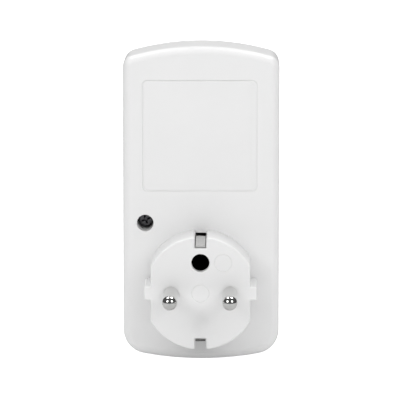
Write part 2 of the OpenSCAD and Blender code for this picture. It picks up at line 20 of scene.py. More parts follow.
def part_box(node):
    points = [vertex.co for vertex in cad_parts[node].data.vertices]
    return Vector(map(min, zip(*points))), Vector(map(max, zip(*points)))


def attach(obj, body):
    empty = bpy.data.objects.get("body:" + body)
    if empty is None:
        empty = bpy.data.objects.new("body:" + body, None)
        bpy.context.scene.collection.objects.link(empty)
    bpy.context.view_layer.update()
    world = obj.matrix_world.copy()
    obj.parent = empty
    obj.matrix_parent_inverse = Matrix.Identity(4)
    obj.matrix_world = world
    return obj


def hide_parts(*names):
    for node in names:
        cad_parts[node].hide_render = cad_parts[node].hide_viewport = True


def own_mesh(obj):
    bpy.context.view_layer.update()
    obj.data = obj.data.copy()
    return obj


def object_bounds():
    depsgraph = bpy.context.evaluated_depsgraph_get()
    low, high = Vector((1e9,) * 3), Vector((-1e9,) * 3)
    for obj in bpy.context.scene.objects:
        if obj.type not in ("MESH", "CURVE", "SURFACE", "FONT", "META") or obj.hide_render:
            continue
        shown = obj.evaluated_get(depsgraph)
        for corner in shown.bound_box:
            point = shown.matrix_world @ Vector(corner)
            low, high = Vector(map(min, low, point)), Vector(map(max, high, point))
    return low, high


bl_info = {
    "name": "Plug-in power meter",
    "version": (1, 0, 0),
    "blender": (4, 5, 0),
    "location": "3D View > Sidebar > Power meter",
    "description": "Builds the visible pieces of a plug-in power meter round its CAD frame",
    "category": "Add Mesh",
}

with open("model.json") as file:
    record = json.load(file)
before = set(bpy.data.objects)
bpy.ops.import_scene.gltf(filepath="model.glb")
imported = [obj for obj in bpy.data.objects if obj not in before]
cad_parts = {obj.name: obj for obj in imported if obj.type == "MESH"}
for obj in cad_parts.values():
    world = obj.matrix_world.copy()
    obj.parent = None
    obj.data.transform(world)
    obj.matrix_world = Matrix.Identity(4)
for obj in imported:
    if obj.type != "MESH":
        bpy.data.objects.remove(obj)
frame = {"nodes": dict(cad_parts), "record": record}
CAD_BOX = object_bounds()
MM = 0.001
MERGE = 2e-7


def corners(node):
    """A CAD node's lowest and highest corners in millimetres."""
    low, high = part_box(node)
    return np.array(low) / MM, np.array(high) / MM


# ---------------------------------------------------------------- places, from the frame

REAR_LOW, REAR_HIGH = corners("rear_cover")
FRONT_HIGH = corners("front_cover")[1]
PLUG_HIGH = corners("plug_body")[1]
INSERT_LOW, INSERT_HIGH = corners("outlet_insert")
LABEL_LOW, LABEL_HIGH = corners("rating_label")
WINDOW_LOW, WINDOW_HIGH = corners("display_window")
LCD_HIGH = corners("lcd_panel")[1]
SCREW_LOW, SCREW_HIGH = corners("case_screws")
TUBE_LOW, TUBE_HIGH = corners("plug_earth_tube")
BRACKET_LOW, BRACKET_HIGH = corners("earth_bracket")
PIN_LOW, PIN_HIGH = corners("live_pin")
EARTH_LOW, EARTH_HIGH = corners("outlet_earth_pin")
SPRING_LOW, SPRING_HIGH = corners("shutter_spring")

HALF = REAR_HIGH[0]
REAR_Y = REAR_LOW[1]
PART_Y = REAR_HIGH[1]
FRONT_Y = FRONT_HIGH[1]
REAR_IN = PLUG_HIGH[1]
WALL = REAR_IN - REAR_Y
FRONT_IN = FRONT_Y - WALL
FLOOR_Y = INSERT_HIGH[1]
PIN_X = (PIN_LOW[0] + PIN_HIGH[0]) / 2
EARTH_Z = (TUBE_LOW[2] + TUBE_HIGH[2]) / 2
TUBE_R = (TUBE_HIGH[2] - TUBE_LOW[2]) / 2
RIB_HALF = PLUG_HIGH[0]
PLUG_R = PLUG_HIGH[2]
WINDOW_Z = (WINDOW_LOW[2] + WINDOW_HIGH[2]) / 2
HEAD_R, HEAD_HEIGHT = 2.5, 2.0
CASE_SCREWS = (
    (SCREW_LOW[0] + HEAD_R, SCREW_LOW[2] + HEAD_R),
    (SCREW_HIGH[0] - HEAD_R, SCREW_HIGH[2] - HEAD_R),
)
KEYS = ("cost_key", "energy_key", "down_key", "up_key", "mode_key")

# ---------------------------------------------------------------- sizes that the frame doesn't state

TOP_ARCH = 85.0
LOW_ARCH = 104.0
TOP_CORNER = 4.0
LOW_CORNER = 8.0
PLUG_FLAT = 16.0
RIB_HALF_HEIGHT = 2.2
NOTCH_HALF = 1.85
NOTCH_FLOOR = 14.7
SLOT_HALF = 1.75
SLOT_FROM, SLOT_TO = 14.85, 17.2
PIN_R, PIN_NECK_R = 2.4, 2.1
PIN_HOLE_R = 2.12
EARTH_HOLE_R = 2.9
FACE_T = 2.5
SPIGOT_INSET = 1.25
SPIGOT_GAP = 0.05
NOTCH_PAD = 0.95
HOLLOW_INSET = 2.4
INNER_CORNER = ((1.6, 0.0), (0.6, 0.3), (0.0, 1.2))
WELL_R = 19.7
WELL_OUT_R = 20.5
WELL_END = 37.0
WELL_STEPS = 160
RECESS = dict(width=37.3, height=36.3, radius=1.6, x=-0.45, z=48.95, depth=0.35)
SCREW_WELL_R = 2.7
SCREW_TUBE_R = 3.6
SCREW_HOLE_R = 1.7
SCREW_SEAT = SCREW_LOW[1] + HEAD_HEIGHT
SCREW_TUBE_END = SCREW_SEAT + 3.0
SEAM = 0.2
KEY_FLANGE = 1.0
MARKS = ((0.0, 0.0), (7.3, 10.0))
MARK_R = 2.85


class MeterSizes(PropertyGroup):
    """Sizes of the finish that a user may change; the frame fixes all the others."""

    rear_roll: FloatProperty(
        name="Rear edge", description="Radius rolled along the edge of the rear face",
        default=0.003, min=0.0015, max=0.003, unit="LENGTH")
    plug_edge: FloatProperty(
        name="Plug edge", description="Radius of the edge round the plug's face",
        default=0.0006, min=0.0002, max=0.0008, unit="LENGTH")
    mark_depth: FloatProperty(
        name="Ejector mark", description="Depth of the mould's round marks on the plug's face",
        default=0.0002, min=0.00002, max=0.0002, unit="LENGTH")
    view_distance: FloatProperty(
        name="Camera distance", description="Distance from the camera to the plug's pins",
        default=0.981, min=0.5, max=3.0, unit="LENGTH")
    view_elevation: FloatProperty(
        name="Camera elevation", description="How far the camera looks down",
        default=radians(8.4), min=0.0, max=radians(60), unit="ROTATION", subtype="ANGLE")
    view_swing: FloatProperty(
        name="Camera swing", description="How far the camera stands round to the right",
        default=radians(0.7), min=radians(-60), max=radians(60), unit="ROTATION", subtype="ANGLE")


class MeterColours(PropertyGroup):
    """Colours of the parts that show from outside."""

    case: FloatVectorProperty(
        name="Case", description="Colour of the white case", subtype="COLOR",
        size=3, min=0, max=1, default=(0.80, 0.80, 0.80))
    label: FloatVectorProperty(
        name="Label", description="Colour of the blank label", subtype="COLOR",
        size=3, min=0, max=1, default=(0.80, 0.80, 0.80))
    keys: FloatVectorProperty(
        name="Keys", description="Colour of the keys", subtype="COLOR",
        size=3, min=0, max=1, default=(0.17, 0.18, 0.20))
    floor: FloatVectorProperty(
        name="Floor", description="Colour of the floor", subtype="COLOR",
        size=3, min=0, max=1, default=(0.6, 0.6, 0.6))


# ---------------------------------------------------------------- outlines


def arc(x, z, radius, start, end, steps):
    """Centre plus radius times (cos a, sin a), with a running evenly from start to end, in degrees."""
    angle = np.radians(np.linspace(start, end, steps + 1))
    return np.stack([x + radius * np.cos(angle), z + radius * np.sin(angle)], axis=1)


def circle(x, z, radius, steps=64):
    """A whole circle, without its doubled last point."""
    return arc(x, z, radius, 0, 360, steps)[:-1]


def rounded(x, z, width, height, radius, steps=8):
    """A rectangle whose corners are quarter circles."""
    a, b = width / 2 - radius, height / 2 - radius
    quarters = [
        arc(x + sx * a, z + sz * b, radius, start, start + 90, steps)
        for sx, sz, start in ((1, 1, 0), (-1, 1, 90), (-1, -1, 180), (1, -1, 270))
    ]
    return np.concatenate(quarters)


def case_loop(inset):
    """The case's outline drawn in all round: straight sides, an arch of its own radius across the top
    and one across the bottom, joined by corner arcs that touch both."""
    half = HALF - inset
    top_centre, low_centre = REAR_HIGH[2] - TOP_ARCH, REAR_LOW[2] + LOW_ARCH
    top_arch, low_arch = TOP_ARCH - inset, LOW_ARCH - inset
    top_r, low_r = max(TOP_CORNER - inset, 1), max(LOW_CORNER - inset, 1)
    top_x, low_x = half - top_r, half - low_r
    top_turn = degrees(acos(top_x / (top_arch - top_r)))
    low_turn = degrees(acos(low_x / (low_arch - low_r)))
    top_z = top_centre + (top_arch - top_r) * sin(radians(top_turn))
    low_z = low_centre - (low_arch - low_r) * sin(radians(low_turn))
    return np.concatenate([
        arc(top_x, top_z, top_r, 0, top_turn, 10),
        arc(0, top_centre, top_arch, top_turn, 180 - top_turn, 30)[1:-1],
        arc(-top_x, top_z, top_r, 180 - top_turn, 180, 10),
        arc(-low_x, low_z, low_r, 180, 180 + low_turn, 14),
        arc(0, low_centre, low_arch, 180 + low_turn, 360 - low_turn, 24)[1:-1],
        arc(low_x, low_z, low_r, 360 - low_turn, 360, 14),
    ])


def drawn_in(loop, distance):
    """The loop with each point moved inwards along the mitre of its two edges' normals, which keeps
    every edge parallel to itself at that distance."""
    edge = np.roll(loop, -1, axis=0) - loop
    normal = np.stack([edge[:, 1], -edge[:, 0]], axis=1) / np.linalg.norm(edge, axis=1)[:, None]
    before = np.roll(normal, 1, axis=0)
    mitre = (normal + before) / (1 + (normal * before).sum(axis=1))[:, None]
    return loop - distance * mitre


def filleted(points, radii, steps=5):
    """The loop with each corner of a given radius replaced by the arc that touches both its sides:
    its centre lies on the bisector at radius / sin(half the corner's angle)."""
    out = []
    for i, radius in enumerate(radii):
        here, before, after = points[i], points[i - 1], points[(i + 1) % len(points)]
        if radius == 0:
            out.append(here[None])
            continue
        a = (before - here) / np.linalg.norm(before - here)
        b = (after - here) / np.linalg.norm(after - here)
        half = acos(np.clip(a @ b, -1, 1)) / 2
        centre = here + (a + b) / np.linalg.norm(a + b) * radius / sin(half)
        reach = radius / np.tan(half)
        start, end = here + a * reach - centre, here + b * reach - centre
        turn = pi - 2 * half
        share = np.linspace(0, 1, steps + 1)[:, None]
        out.append(centre + (start * np.sin((1 - share) * turn) + end * np.sin(share * turn)) / sin(turn))
    return np.concatenate(out)


def plug_loop(edge):
    """The plug's outline: a circle cut by two flats, a guide rib on each flat and an earth notch at the
    top and the bottom. It is worked out for one half and turned by 180 degrees for the other. Its
    outward corners are a little rounder than the edge of the face, so that the edge can follow them."""
    soft = edge + 0.1
    flat_angle = degrees(acos(PLUG_FLAT / PLUG_R))
    notch_angle = degrees(acos(NOTCH_HALF / PLUG_R))
    lead = degrees(1.8 * soft / PLUG_R)
    on_flat, on_notch = arc(0, 0, PLUG_R, flat_angle, notch_angle, 1)
    round_part = arc(0, 0, PLUG_R, flat_angle + lead, notch_angle - lead, 22)
    quarter = np.concatenate([
        [(RIB_HALF, RIB_HALF_HEIGHT), (PLUG_FLAT, RIB_HALF_HEIGHT), on_flat], round_part,
        [on_notch, (NOTCH_HALF, NOTCH_FLOOR)]])
    radii = [soft, 0.3, soft] + [0] * len(round_part) + [soft, 0.35]
    half = np.concatenate([quarter, quarter[::-1] * (-1, 1)])
    return filleted(np.concatenate([half, -half]), (radii + radii[::-1]) * 2)


def opening_loop(inset, pad_half, pad_from):
    """The plug's plain outline drawn in, kept back round each earth notch by a square pad."""
    radius, flat = PLUG_R - inset, PLUG_FLAT - inset
    flat_angle = degrees(acos(flat / radius))
    pad_angle = degrees(acos(pad_half / radius))
    half = np.concatenate([
        arc(0, 0, radius, flat_angle, pad_angle, 16),
        [(pad_half, pad_from), (-pad_half, pad_from)],
        arc(0, 0, radius, 180 - pad_angle, 180 - flat_angle, 16),
    ])
    return np.concatenate([half, -half])


# ---------------------------------------------------------------- meshes


class Solid:
    """Points and faces gathered from grids and flat panels, then made one closed mesh."""

    def __init__(self):
        self.points, self.faces, self.count = [], [], 0

    def add(self, points, faces):
        self.faces += (np.asarray(faces) + self.count).tolist()
        self.points.append(points)
        self.count += len(points)

    def grid(self, rings):
        """Rings of like points, joined in order by four-sided faces."""
        rings = np.asarray(rings)
        index = np.arange(rings.shape[0] * rings.shape[1]).reshape(rings.shape[:2])
        ahead = np.roll(index, -1, axis=1)
        quads = np.stack([index[:-1], ahead[:-1], ahead[1:], index[1:]], axis=-1)
        self.add(rings.reshape(-1, 3), quads.reshape(-1, 4))
        return self

    def wall(self, loop, profile):
        """The loop carried along a profile of (depth, distance drawn in)."""
        return self.grid([at_depth(drawn_in(loop, inset), y) for y, inset in profile])

    def case_wall(self, profile):
        """The case's own outline carried along a profile, each ring with its own corner arcs."""
        return self.grid([at_depth(case_loop(inset), y) for y, inset in profile])

    def lathe(self, x, z, profile, steps=64):
        """A profile of (depth, radius) turned about the line along Y through (x, z)."""
        return self.grid([at_depth(circle(x, z, radius, steps), y) for y, radius in profile])

    def panel(self, y, outer, *holes):
        """A flat face at one depth, inside the outer loop and outside every hole, in triangles that a
        constrained Delaunay division gives."""
        loops = [outer, *holes]
        ends = np.cumsum([len(loop) for loop in loops])
        regions = [list(range(end - len(loop), end)) for end, loop in zip(ends, loops)]
        flat = np.concatenate(loops)
        given = [Vector(point) for point in flat.tolist()]
        points, _, faces, _, _, origins = delaunay_2d_cdt(given, [], regions, 1, 1e-7, True)
        kept = [face for face, origin in zip(faces, origins) if origin == [0]]
        if len(points) != len(flat):
            raise ValueError(f"loops of the panel at depth {y:g} touch or cross")
        self.add(at_depth(flat, y), kept)
        return self

    def build(self, name, sharp=32):
        """The mesh object, its doubles merged, its faces outwards and its broad faces shaded flat."""
        mesh = bpy.data.meshes.new(name)
        mesh.from_pydata(np.concatenate(self.points) * MM, [], self.faces)
        work = bmesh.new()
        work.from_mesh(mesh)
        bmesh.ops.remove_doubles(work, verts=work.verts, dist=MERGE)
        bmesh.ops.recalc_face_normals(work, faces=work.faces)
        work.to_mesh(mesh)
        work.free()
        mesh.shade_smooth()
        mesh.set_sharp_from_angle(angle=radians(sharp))
        piece = bpy.data.objects.new(name, mesh)
        bpy.context.scene.collection.objects.link(piece)
        weighted = piece.modifiers.new("Flat faces stay flat", "WEIGHTED_NORMAL")
        weighted.keep_sharp = True
        weighted.weight = 100
        return piece


def at_depth(loop, y):
    """A loop's points in space at one depth."""
    return np.insert(loop, 1, y, axis=1)


def edge_in(y, radius, steps=6):
    """Quarter round from a face at y into a side wall: depth y + r (1 - cos a), drawn in r (1 - sin a)."""
    angle = np.radians(np.linspace(0, 90, steps + 1))
    return list(zip(y + radius * (1 - np.cos(angle)), abs(radius) * (1 - np.sin(angle))))


def mouth(y, radius, steps=4):
    """The same round for a hole's mouth, where the loop is spread instead of drawn in."""
    return [(depth, -inset) for depth, inset in edge_in(y, radius, steps)]


def turned(profile, radius):
    """A hole's profile with radii instead of distances drawn in."""
    return [(y, radius - inset) for y, inset in profile]


def finish(piece, body, slot, *nodes):
    """Gives a piece its body and the finish of its material slot, and hides the CAD nodes that it stands
    for.
    """
    piece.data.materials.append(finish_of(slot))
    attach(piece, body)
    if nodes:
        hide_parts(*nodes)


# ---------------------------------------------------------------- case


def rear_cover(sizes):
    """A box whose walls are the case's outline carried along a profile: out round the rear face's edge,
    along the side to the parting line, over the rim and back along the inside."""
    roll = sizes.rear_roll / MM
    solid = Solid()
    solid.case_wall(
        edge_in(REAR_Y, roll, 12) + [(PART_Y - SEAM, 0), (PART_Y, SEAM), (PART_Y, WALL)]
        + [(REAR_IN + rise, WALL + inset) for rise, inset in INNER_CORNER])
    recess = rounded(RECESS["x"], RECESS["z"], RECESS["width"], RECESS["height"], RECESS["radius"])
    recess_y = REAR_Y + RECESS["depth"]
    pad = NOTCH_PAD - SPIGOT_GAP
    opening = opening_loop(SPIGOT_INSET - SPIGOT_GAP, NOTCH_HALF + pad, NOTCH_FLOOR - pad)
    slot_z, slot_height = (SLOT_FROM + SLOT_TO) / 2, SLOT_TO - SLOT_FROM
    slots = [rounded(0, side * slot_z, 2 * SLOT_HALF, slot_height, 0.2, 3) for side in (-1, 1)]
    lip, fillet, well_lip = 0.12, 0.035, 0.25
    (open_x, open_z), (covered_x, covered_z) = CASE_SCREWS
    solid.panel(
        REAR_Y, case_loop(roll), opening, drawn_in(recess, -lip), *slots,
        circle(open_x, open_z, SCREW_WELL_R + well_lip))
    solid.wall(recess, mouth(REAR_Y, lip, 3) + [
        (recess_y - lip, 0), (recess_y - fillet, fillet), (recess_y, lip)])
    solid.panel(recess_y, drawn_in(recess, lip), circle(covered_x, covered_z, SCREW_WELL_R))
    for loop in (opening, *slots):
        solid.wall(loop, [(REAR_Y, 0), (REAR_IN, 0)])
    open_mouth, covered_mouth = turned(mouth(REAR_Y, well_lip), SCREW_WELL_R), [(recess_y, SCREW_WELL_R)]
    for x, z, top in ((open_x, open_z, open_mouth), (covered_x, covered_z, covered_mouth)):
        solid.lathe(x, z, top + [
            (SCREW_SEAT, SCREW_WELL_R), (SCREW_SEAT, SCREW_HOLE_R), (SCREW_TUBE_END, SCREW_HOLE_R),
            (SCREW_TUBE_END, SCREW_TUBE_R), (REAR_IN, SCREW_TUBE_R)])
    tubes = [circle(x, z, SCREW_TUBE_R) for x, z in CASE_SCREWS]
    solid.panel(REAR_IN, case_loop(WALL + INNER_CORNER[-1][1]), opening, *slots, *tubes)
    finish(solid.build("rear_shell"), "case", "shell_white", "rear_cover")


def plug_body(sizes):
    """The plug's outline carried from a small round at its face back to the case, then a narrower spigot
    and the hollow behind the face. The face has its holes and two shallow round marks."""
    edge = sizes.plug_edge / MM
    outline = plug_loop(edge)
    beside_notch, under_notch = 2.1, 1.3
    spigot = opening_loop(SPIGOT_INSET, NOTCH_HALF + NOTCH_PAD, NOTCH_FLOOR - NOTCH_PAD)
    hollow = opening_loop(HOLLOW_INSET, NOTCH_HALF + beside_notch, NOTCH_FLOOR - under_notch)
    solid = Solid()
    solid.wall(outline, edge_in(0, edge, 8) + [(REAR_Y, 0)])
    solid.panel(REAR_Y, outline, spigot)
    solid.wall(spigot, [(REAR_Y, 0), (REAR_IN, 0)])
    solid.panel(REAR_IN, spigot, hollow)
    solid.wall(hollow, [(REAR_IN, 0), (FACE_T, 0)])
    pin_lip, earth_lip = 0.15, 0.2
    holes = [(side * PIN_X, 0, PIN_HOLE_R, pin_lip) for side in (1, -1)]
    face_loops, floor_loops = [], []
    for x, z, radius, soft in (*holes, (0, EARTH_Z, EARTH_HOLE_R, earth_lip)):
        solid.lathe(x, z, turned(mouth(0, soft), radius) + [(FACE_T, radius)])
        face_loops.append(circle(x, z, radius + soft))
        floor_loops.append(circle(x, z, radius))
    depth, slope = sizes.mark_depth / MM, 0.12
    for x, z in MARKS:
        solid.lathe(x, z, [(0, MARK_R), (depth, MARK_R - slope)])
        solid.panel(depth, circle(x, z, MARK_R - slope))
        face_loops.append(circle(x, z, MARK_R))
    solid.panel(0, drawn_in(outline, edge), *face_loops)
    solid.panel(FACE_T, hollow, *floor_loops)
    finish(solid.build("plug_moulding"), "case", "shell_white", "plug_body")


def front_profile(steps=8):
    """Distance drawn in along the front cover: 1.253 t ** 1.71 over the drafted side, then the rest of an
    ellipse 4.2 deep and 3.8 wide that starts with the same slope and ends flat in the front face."""
    deep, wide, side, start = 4.2, 3.8, 1.2, 80.4
    join_y = FRONT_Y - deep * (1 - cos(radians(start)))
    join = side + wide * (1 - sin(radians(start)))
    t = np.linspace(0, 1, steps + 1)[:-1]
    draft = list(zip(PART_Y + SEAM + (join_y - PART_Y - SEAM) * t, join * t ** 1.71))
    angle = np.radians(np.linspace(start, 0, 15))
    return draft + list(zip(FRONT_Y - deep * (1 - np.cos(angle)), side + wide * (1 - np.sin(angle))))


def key_place(name):
    """A key's centre and the half sizes of its cap, from its CAD box less the flange."""
    low, high = corners(name)
    centre, half = (low + high) / 2, (high - low) / 2 - KEY_FLANGE
    return centre[0], centre[2], half[0], half[2]


def key_loop(name, grow=0.0):
    """A key's outline: a bar with round ends, or a circle where it is as wide as it is high."""
    x, z, half_x, half_z = key_place(name)
    reach, radius = half_x - half_z, half_z + grow
    if reach < 0.1:
        return circle(x, z, radius)
    return np.concatenate([arc(x + reach, z, radius, -90, 90, 24), arc(x - reach, z, radius, 90, 270, 24)])


def well_circle(radius):
    """A circle round the well's axis, with enough steps to look round from close by."""
    return circle(0, 0, radius, WELL_STEPS)


def front_cover():
    """The case's outline carried along the drafted side and the rolled front edge, with the outlet's
    well, the window's stepped opening and five key holes through the front wall."""
    lip_outer, lip_inner, lip_reach = WALL + 0.15, WALL + 1.3, 2.0
    corner_from, corner_inset = FRONT_Y - 7, WALL + 2.2
    window_gap, ledge, ledge_y = 0.2, 1.8, FRONT_Y - 1.4
    soft, key_gap = 0.2, 0.25
    solid = Solid()
    solid.case_wall(
        front_profile()[::-1]
        + [(PART_Y, SEAM), (PART_Y, lip_outer), (PART_Y - lip_reach, lip_outer),
           (PART_Y - lip_reach, lip_inner), (PART_Y + 1, lip_inner), (corner_from, lip_inner),
           (FRONT_IN, corner_inset)])
    front_edge = front_profile()[-1][1]
    width, height = WINDOW_HIGH[0] * 2, WINDOW_HIGH[2] - WINDOW_LOW[2]
    pocket = rounded(0, WINDOW_Z, width + window_gap, height + window_gap, 1.6)
    sight = rounded(0, WINDOW_Z, width - ledge, height - ledge, 1.2)
    key_holes = [key_loop(name, key_gap) for name in KEYS]
    solid.panel(
        FRONT_Y, case_loop(front_edge), well_circle(WELL_R + soft),
        drawn_in(pocket, -soft), *[drawn_in(loop, -soft) for loop in key_holes])
    back_round = [(2 * FRONT_Y - y, inset) for y, inset in mouth(FRONT_Y, soft)]
    solid.lathe(0, 0, turned(back_round, WELL_R) + [
        (WELL_END, WELL_R), (WELL_END, WELL_OUT_R), (FRONT_IN, WELL_OUT_R)], WELL_STEPS)
    solid.wall(pocket, back_round + [(ledge_y, 0)])
    solid.panel(ledge_y, pocket, sight)
    solid.wall(sight, [(ledge_y, 0), (FRONT_IN, 0)])
    for loop in key_holes:
        solid.wall(loop, back_round + [(FRONT_IN, 0)])
    solid.panel(FRONT_IN, case_loop(corner_inset), well_circle(WELL_OUT_R), sight, *key_holes)
    finish(solid.build("front_shell"), "case", "shell_white", "front_cover")


def outlet_insert():
    """The floor of the well: a stepped disc with two countersunk contact holes and one for the earth pin,
    and a shallow groove turned round its edge."""
    back_y, rim, rim_soft, flange = INSERT_LOW[1], WELL_R - 0.05, 0.15, WELL_OUT_R
    groove, groove_w, groove_d = 18.2, 0.6, 0.3
    holes = [(PIN_X, 0, 2.75, 0.5), (-PIN_X, 0, 2.75, 0.5), (0, EARTH_Z, 2.15, 0.15)]
    solid = Solid()
    solid.lathe(0, 0, [
        (FLOOR_Y, rim - rim_soft), (FLOOR_Y - rim_soft, rim), (WELL_END, rim), (WELL_END, flange),
        (back_y, flange)], WELL_STEPS)
    solid.lathe(0, 0, [
        (FLOOR_Y, groove + groove_w / 2), (FLOOR_Y - groove_d, groove + groove_w / 4),
        (FLOOR_Y - groove_d, groove - groove_w / 4), (FLOOR_Y, groove - groove_w / 2)], WELL_STEPS)
    solid.panel(FLOOR_Y, well_circle(rim - rim_soft), well_circle(groove + groove_w / 2))
    spread = []
    for x, z, radius, soft in holes:
        solid.lathe(x, z, [(FLOOR_Y, radius + soft), (FLOOR_Y - soft, radius), (back_y, radius)])
        spread.append(circle(x, z, radius + soft))
    solid.panel(FLOOR_Y, well_circle(groove - groove_w / 2), *spread)
    solid.panel(back_y, well_circle(flange), *[circle(x, z, radius) for x, z, radius, _ in holes])
    finish(solid.build("outlet_floor"), "case", "shell_white", "outlet_insert")


def rating_label():
    """A thin plate with round corners and a softened edge, lying in its recess."""
    low, high = LABEL_LOW, LABEL_HIGH
    middle, size = (low + high) / 2, high - low
    loop = rounded(middle[0], middle[2], size[0], size[2], 1.2)
    soft = 0.04
    solid = Solid()
    solid.wall(loop, edge_in(low[1], soft, 3) + [(high[1], 0)])
    solid.panel(low[1], drawn_in(loop, soft))
    solid.panel(high[1], loop)
    finish(solid.build("blank_label"), "case", "label_film", "rating_label")


# ---------------------------------------------------------------- metal parts


def cross_loop(x, z, reach, half, turn):
    """A plus sign with square ends, turned by an angle."""
    corner = np.array([
        (reach, -half), (reach, half), (half, half), (half, reach), (-half, reach), (-half, half)])
    loop = np.concatenate([corner, -corner])
    rotate = np.array([[cos(turn), sin(turn)], [-sin(turn), cos(turn)]])
    return loop @ rotate + (x, z)


def cross_screw(solid, x, z, top, seat, end, shank_r, turn):
    """A pan head's profile turned about Y, its flat pierced by a cross that narrows to its floor."""
    flat_r, crown, bevel, tip_r = HEAD_R * 0.66, 0.5, 0.15, 0.15
    angle = np.radians(np.linspace(0, 90, 8))
    head = list(zip(top + crown * (1 - np.cos(angle)), flat_r + (HEAD_R - flat_r) * np.sin(angle)))
    solid.lathe(x, z, head + [
        (seat - bevel, HEAD_R), (seat, HEAD_R - bevel), (seat, shank_r), (end - shank_r, shank_r),
        (end, tip_r)], 48)
    solid.panel(end, circle(x, z, tip_r, 48))
    sections = [(top, 1.45, 0.36), (top + 0.15, 1.3, 0.27), (top + 1.1, 0.55, 0.2)]
    crosses = [at_depth(cross_loop(x, z, reach, half, turn), y) for y, reach, half in sections]
    solid.grid(crosses)
    solid.panel(top, circle(x, z, flat_r, 48), crosses[0][:, ::2])
    solid.panel(sections[-1][0], crosses[-1][:, ::2])


def case_screws():
    """Two cross-head screws at the bottom of their wells, in a steel coloured dark as painted shade for the
    shade deep in the wells.
    """
    solid, shank_r = Solid(), 1.0
    for (x, z), turn in zip(CASE_SCREWS, (radians(20), radians(50))):
        cross_screw(solid, x, z, SCREW_LOW[1], SCREW_SEAT, SCREW_HIGH[1], shank_r, turn)
    finish(solid.build("case_screw_pair"), "case", "screw_steel", "case_screws")


def dome(y, radius, sign, steps=16):
    """Quarter circle from a round tip at y to a bar's side: depth y + r (1 - cos a), radius r sin a."""
    angle = np.radians(np.linspace(2, 90, steps))
    return list(zip(y + sign * radius * (1 - np.cos(angle)), radius * np.sin(angle)))


def turned_bar(name, x, z, profile, node):
    """A closed plated bar turned from a profile of (depth, radius), its two ends closed by small discs."""
    solid = Solid().lathe(x, z, profile, 72)
    for y, radius in (profile[0], profile[-1]):
        solid.panel(y, circle(x, z, radius, 72))
    finish(solid.build(name), "case", "nickel_plate", node)


def mains_pins():
    """Two pins: a dome, a plain bar, a neck through the plug's face, a flange and a riveted tail."""
    bevel, flange, thick, tail = 0.1, 3.8, 1.5, 1.8
    flange_end = FACE_T + thick
    for name, x in (("live_pin", PIN_X), ("neutral_pin", -PIN_X)):
        turned_bar(name + "_bar", x, 0, dome(PIN_LOW[1], PIN_R, 1) + [
            (-bevel, PIN_R), (0, PIN_R - bevel), (0, PIN_NECK_R), (FACE_T, PIN_NECK_R),
            (FACE_T, flange - bevel), (FACE_T + bevel, flange), (flange_end - bevel, flange),
            (flange_end, flange - bevel), (flange_end, tail), (PIN_HIGH[1] - 2 * bevel, tail),
            (PIN_HIGH[1], tail - 2 * bevel)], name)


def outlet_earth_pin():
    """The outlet's earth pin: a dome at the front, a bar, a flange behind the floor and a tail."""
    flange, thick, gap = 3.2, 1.0, 0.1
    flange_y = INSERT_LOW[1] - gap
    turned_bar("outlet_earth_bar", 0, EARTH_Z, dome(EARTH_HIGH[1], PIN_R, -1) + [
        (FLOOR_Y, PIN_R), (FLOOR_Y, PIN_NECK_R), (flange_y, PIN_NECK_R), (flange_y, flange),
        (flange_y - thick, flange), (flange_y - thick, PIN_NECK_R), (EARTH_LOW[1], PIN_NECK_R)],
        "outlet_earth_pin")


def earth_tube():
    """The tube contact: a thin wall turned about Y, with a flared mouth and a long pointed inner end."""
    bore, floor_y, point, tip_r, bevel = TUBE_R - 0.25, TUBE_HIGH[1] - 0.5, 10.0, 0.2, 0.1
    mouth_y = TUBE_LOW[1]
    flare = [(mouth_y + 0.5, bore), (mouth_y + 0.15, bore + 0.08), (mouth_y, bore + 0.2)]
    solid = Solid().lathe(0, EARTH_Z, [(floor_y, tip_r), (floor_y - point, bore)] + flare + [
        (mouth_y, TUBE_R - bevel), (mouth_y + bevel, TUBE_R), (TUBE_HIGH[1], TUBE_R),
        (TUBE_HIGH[1], tip_r)])
    for y in (floor_y, TUBE_HIGH[1]):
        solid.panel(y, circle(0, EARTH_Z, tip_r))
    finish(solid.build("earth_tube"), "case", "nickel_plate", "plug_earth_tube")


def earth_bracket():
    """One strip carried along its centre line in the Y-Z plane: each section lies across the line, in X and
    the line's normal. The line runs down one notch, across the back and up the other, round at the
    corners and curled in at both tips."""
    arm_z, thick, bend = 16.3, 0.72, 1.0
    tip_y, back_y = BRACKET_LOW[1] + 0.25, BRACKET_HIGH[1] - 0.4
    curl, curl_end = 1.1, 6.5
    run = np.linspace(0, 1, 14)
    tip = np.stack([tip_y + (curl_end - tip_y) * run, arm_z - curl * (1 - run) ** 2.2], axis=1)
    turn = np.linspace(0, pi / 2, 7)
    corner = np.stack([back_y - bend + bend * np.sin(turn), arm_z - bend + bend * np.cos(turn)], axis=1)
    half = np.concatenate([tip, corner])
    line = np.concatenate([half, (half * (1, -1))[::-1]])
    along = np.gradient(line, axis=0)
    along /= np.linalg.norm(along, axis=1)[:, None]
    across = np.stack([-along[:, 1], along[:, 0]], axis=1)
    section = rounded(0, 0, BRACKET_HIGH[0] - BRACKET_LOW[0], thick, 0.12, 3)
    side = line[:, None] + across[:, None] * section[None, :, 1, None]
    width = np.broadcast_to(section[None, :, :1], (*side.shape[:2], 1))
    rings = np.concatenate([width, side], axis=2)
    solid = Solid().grid(rings)
    for ring in (rings[0], rings[-1]):
        middle = ring.mean(axis=0)
        solid.grid([ring, middle + (ring - middle) * 0.5, middle + (ring - middle) * 0.02])
    piece = solid.build("earth_strip")
    close_ends(piece)
    finish(piece, "case", "nickel_plate", "earth_bracket")


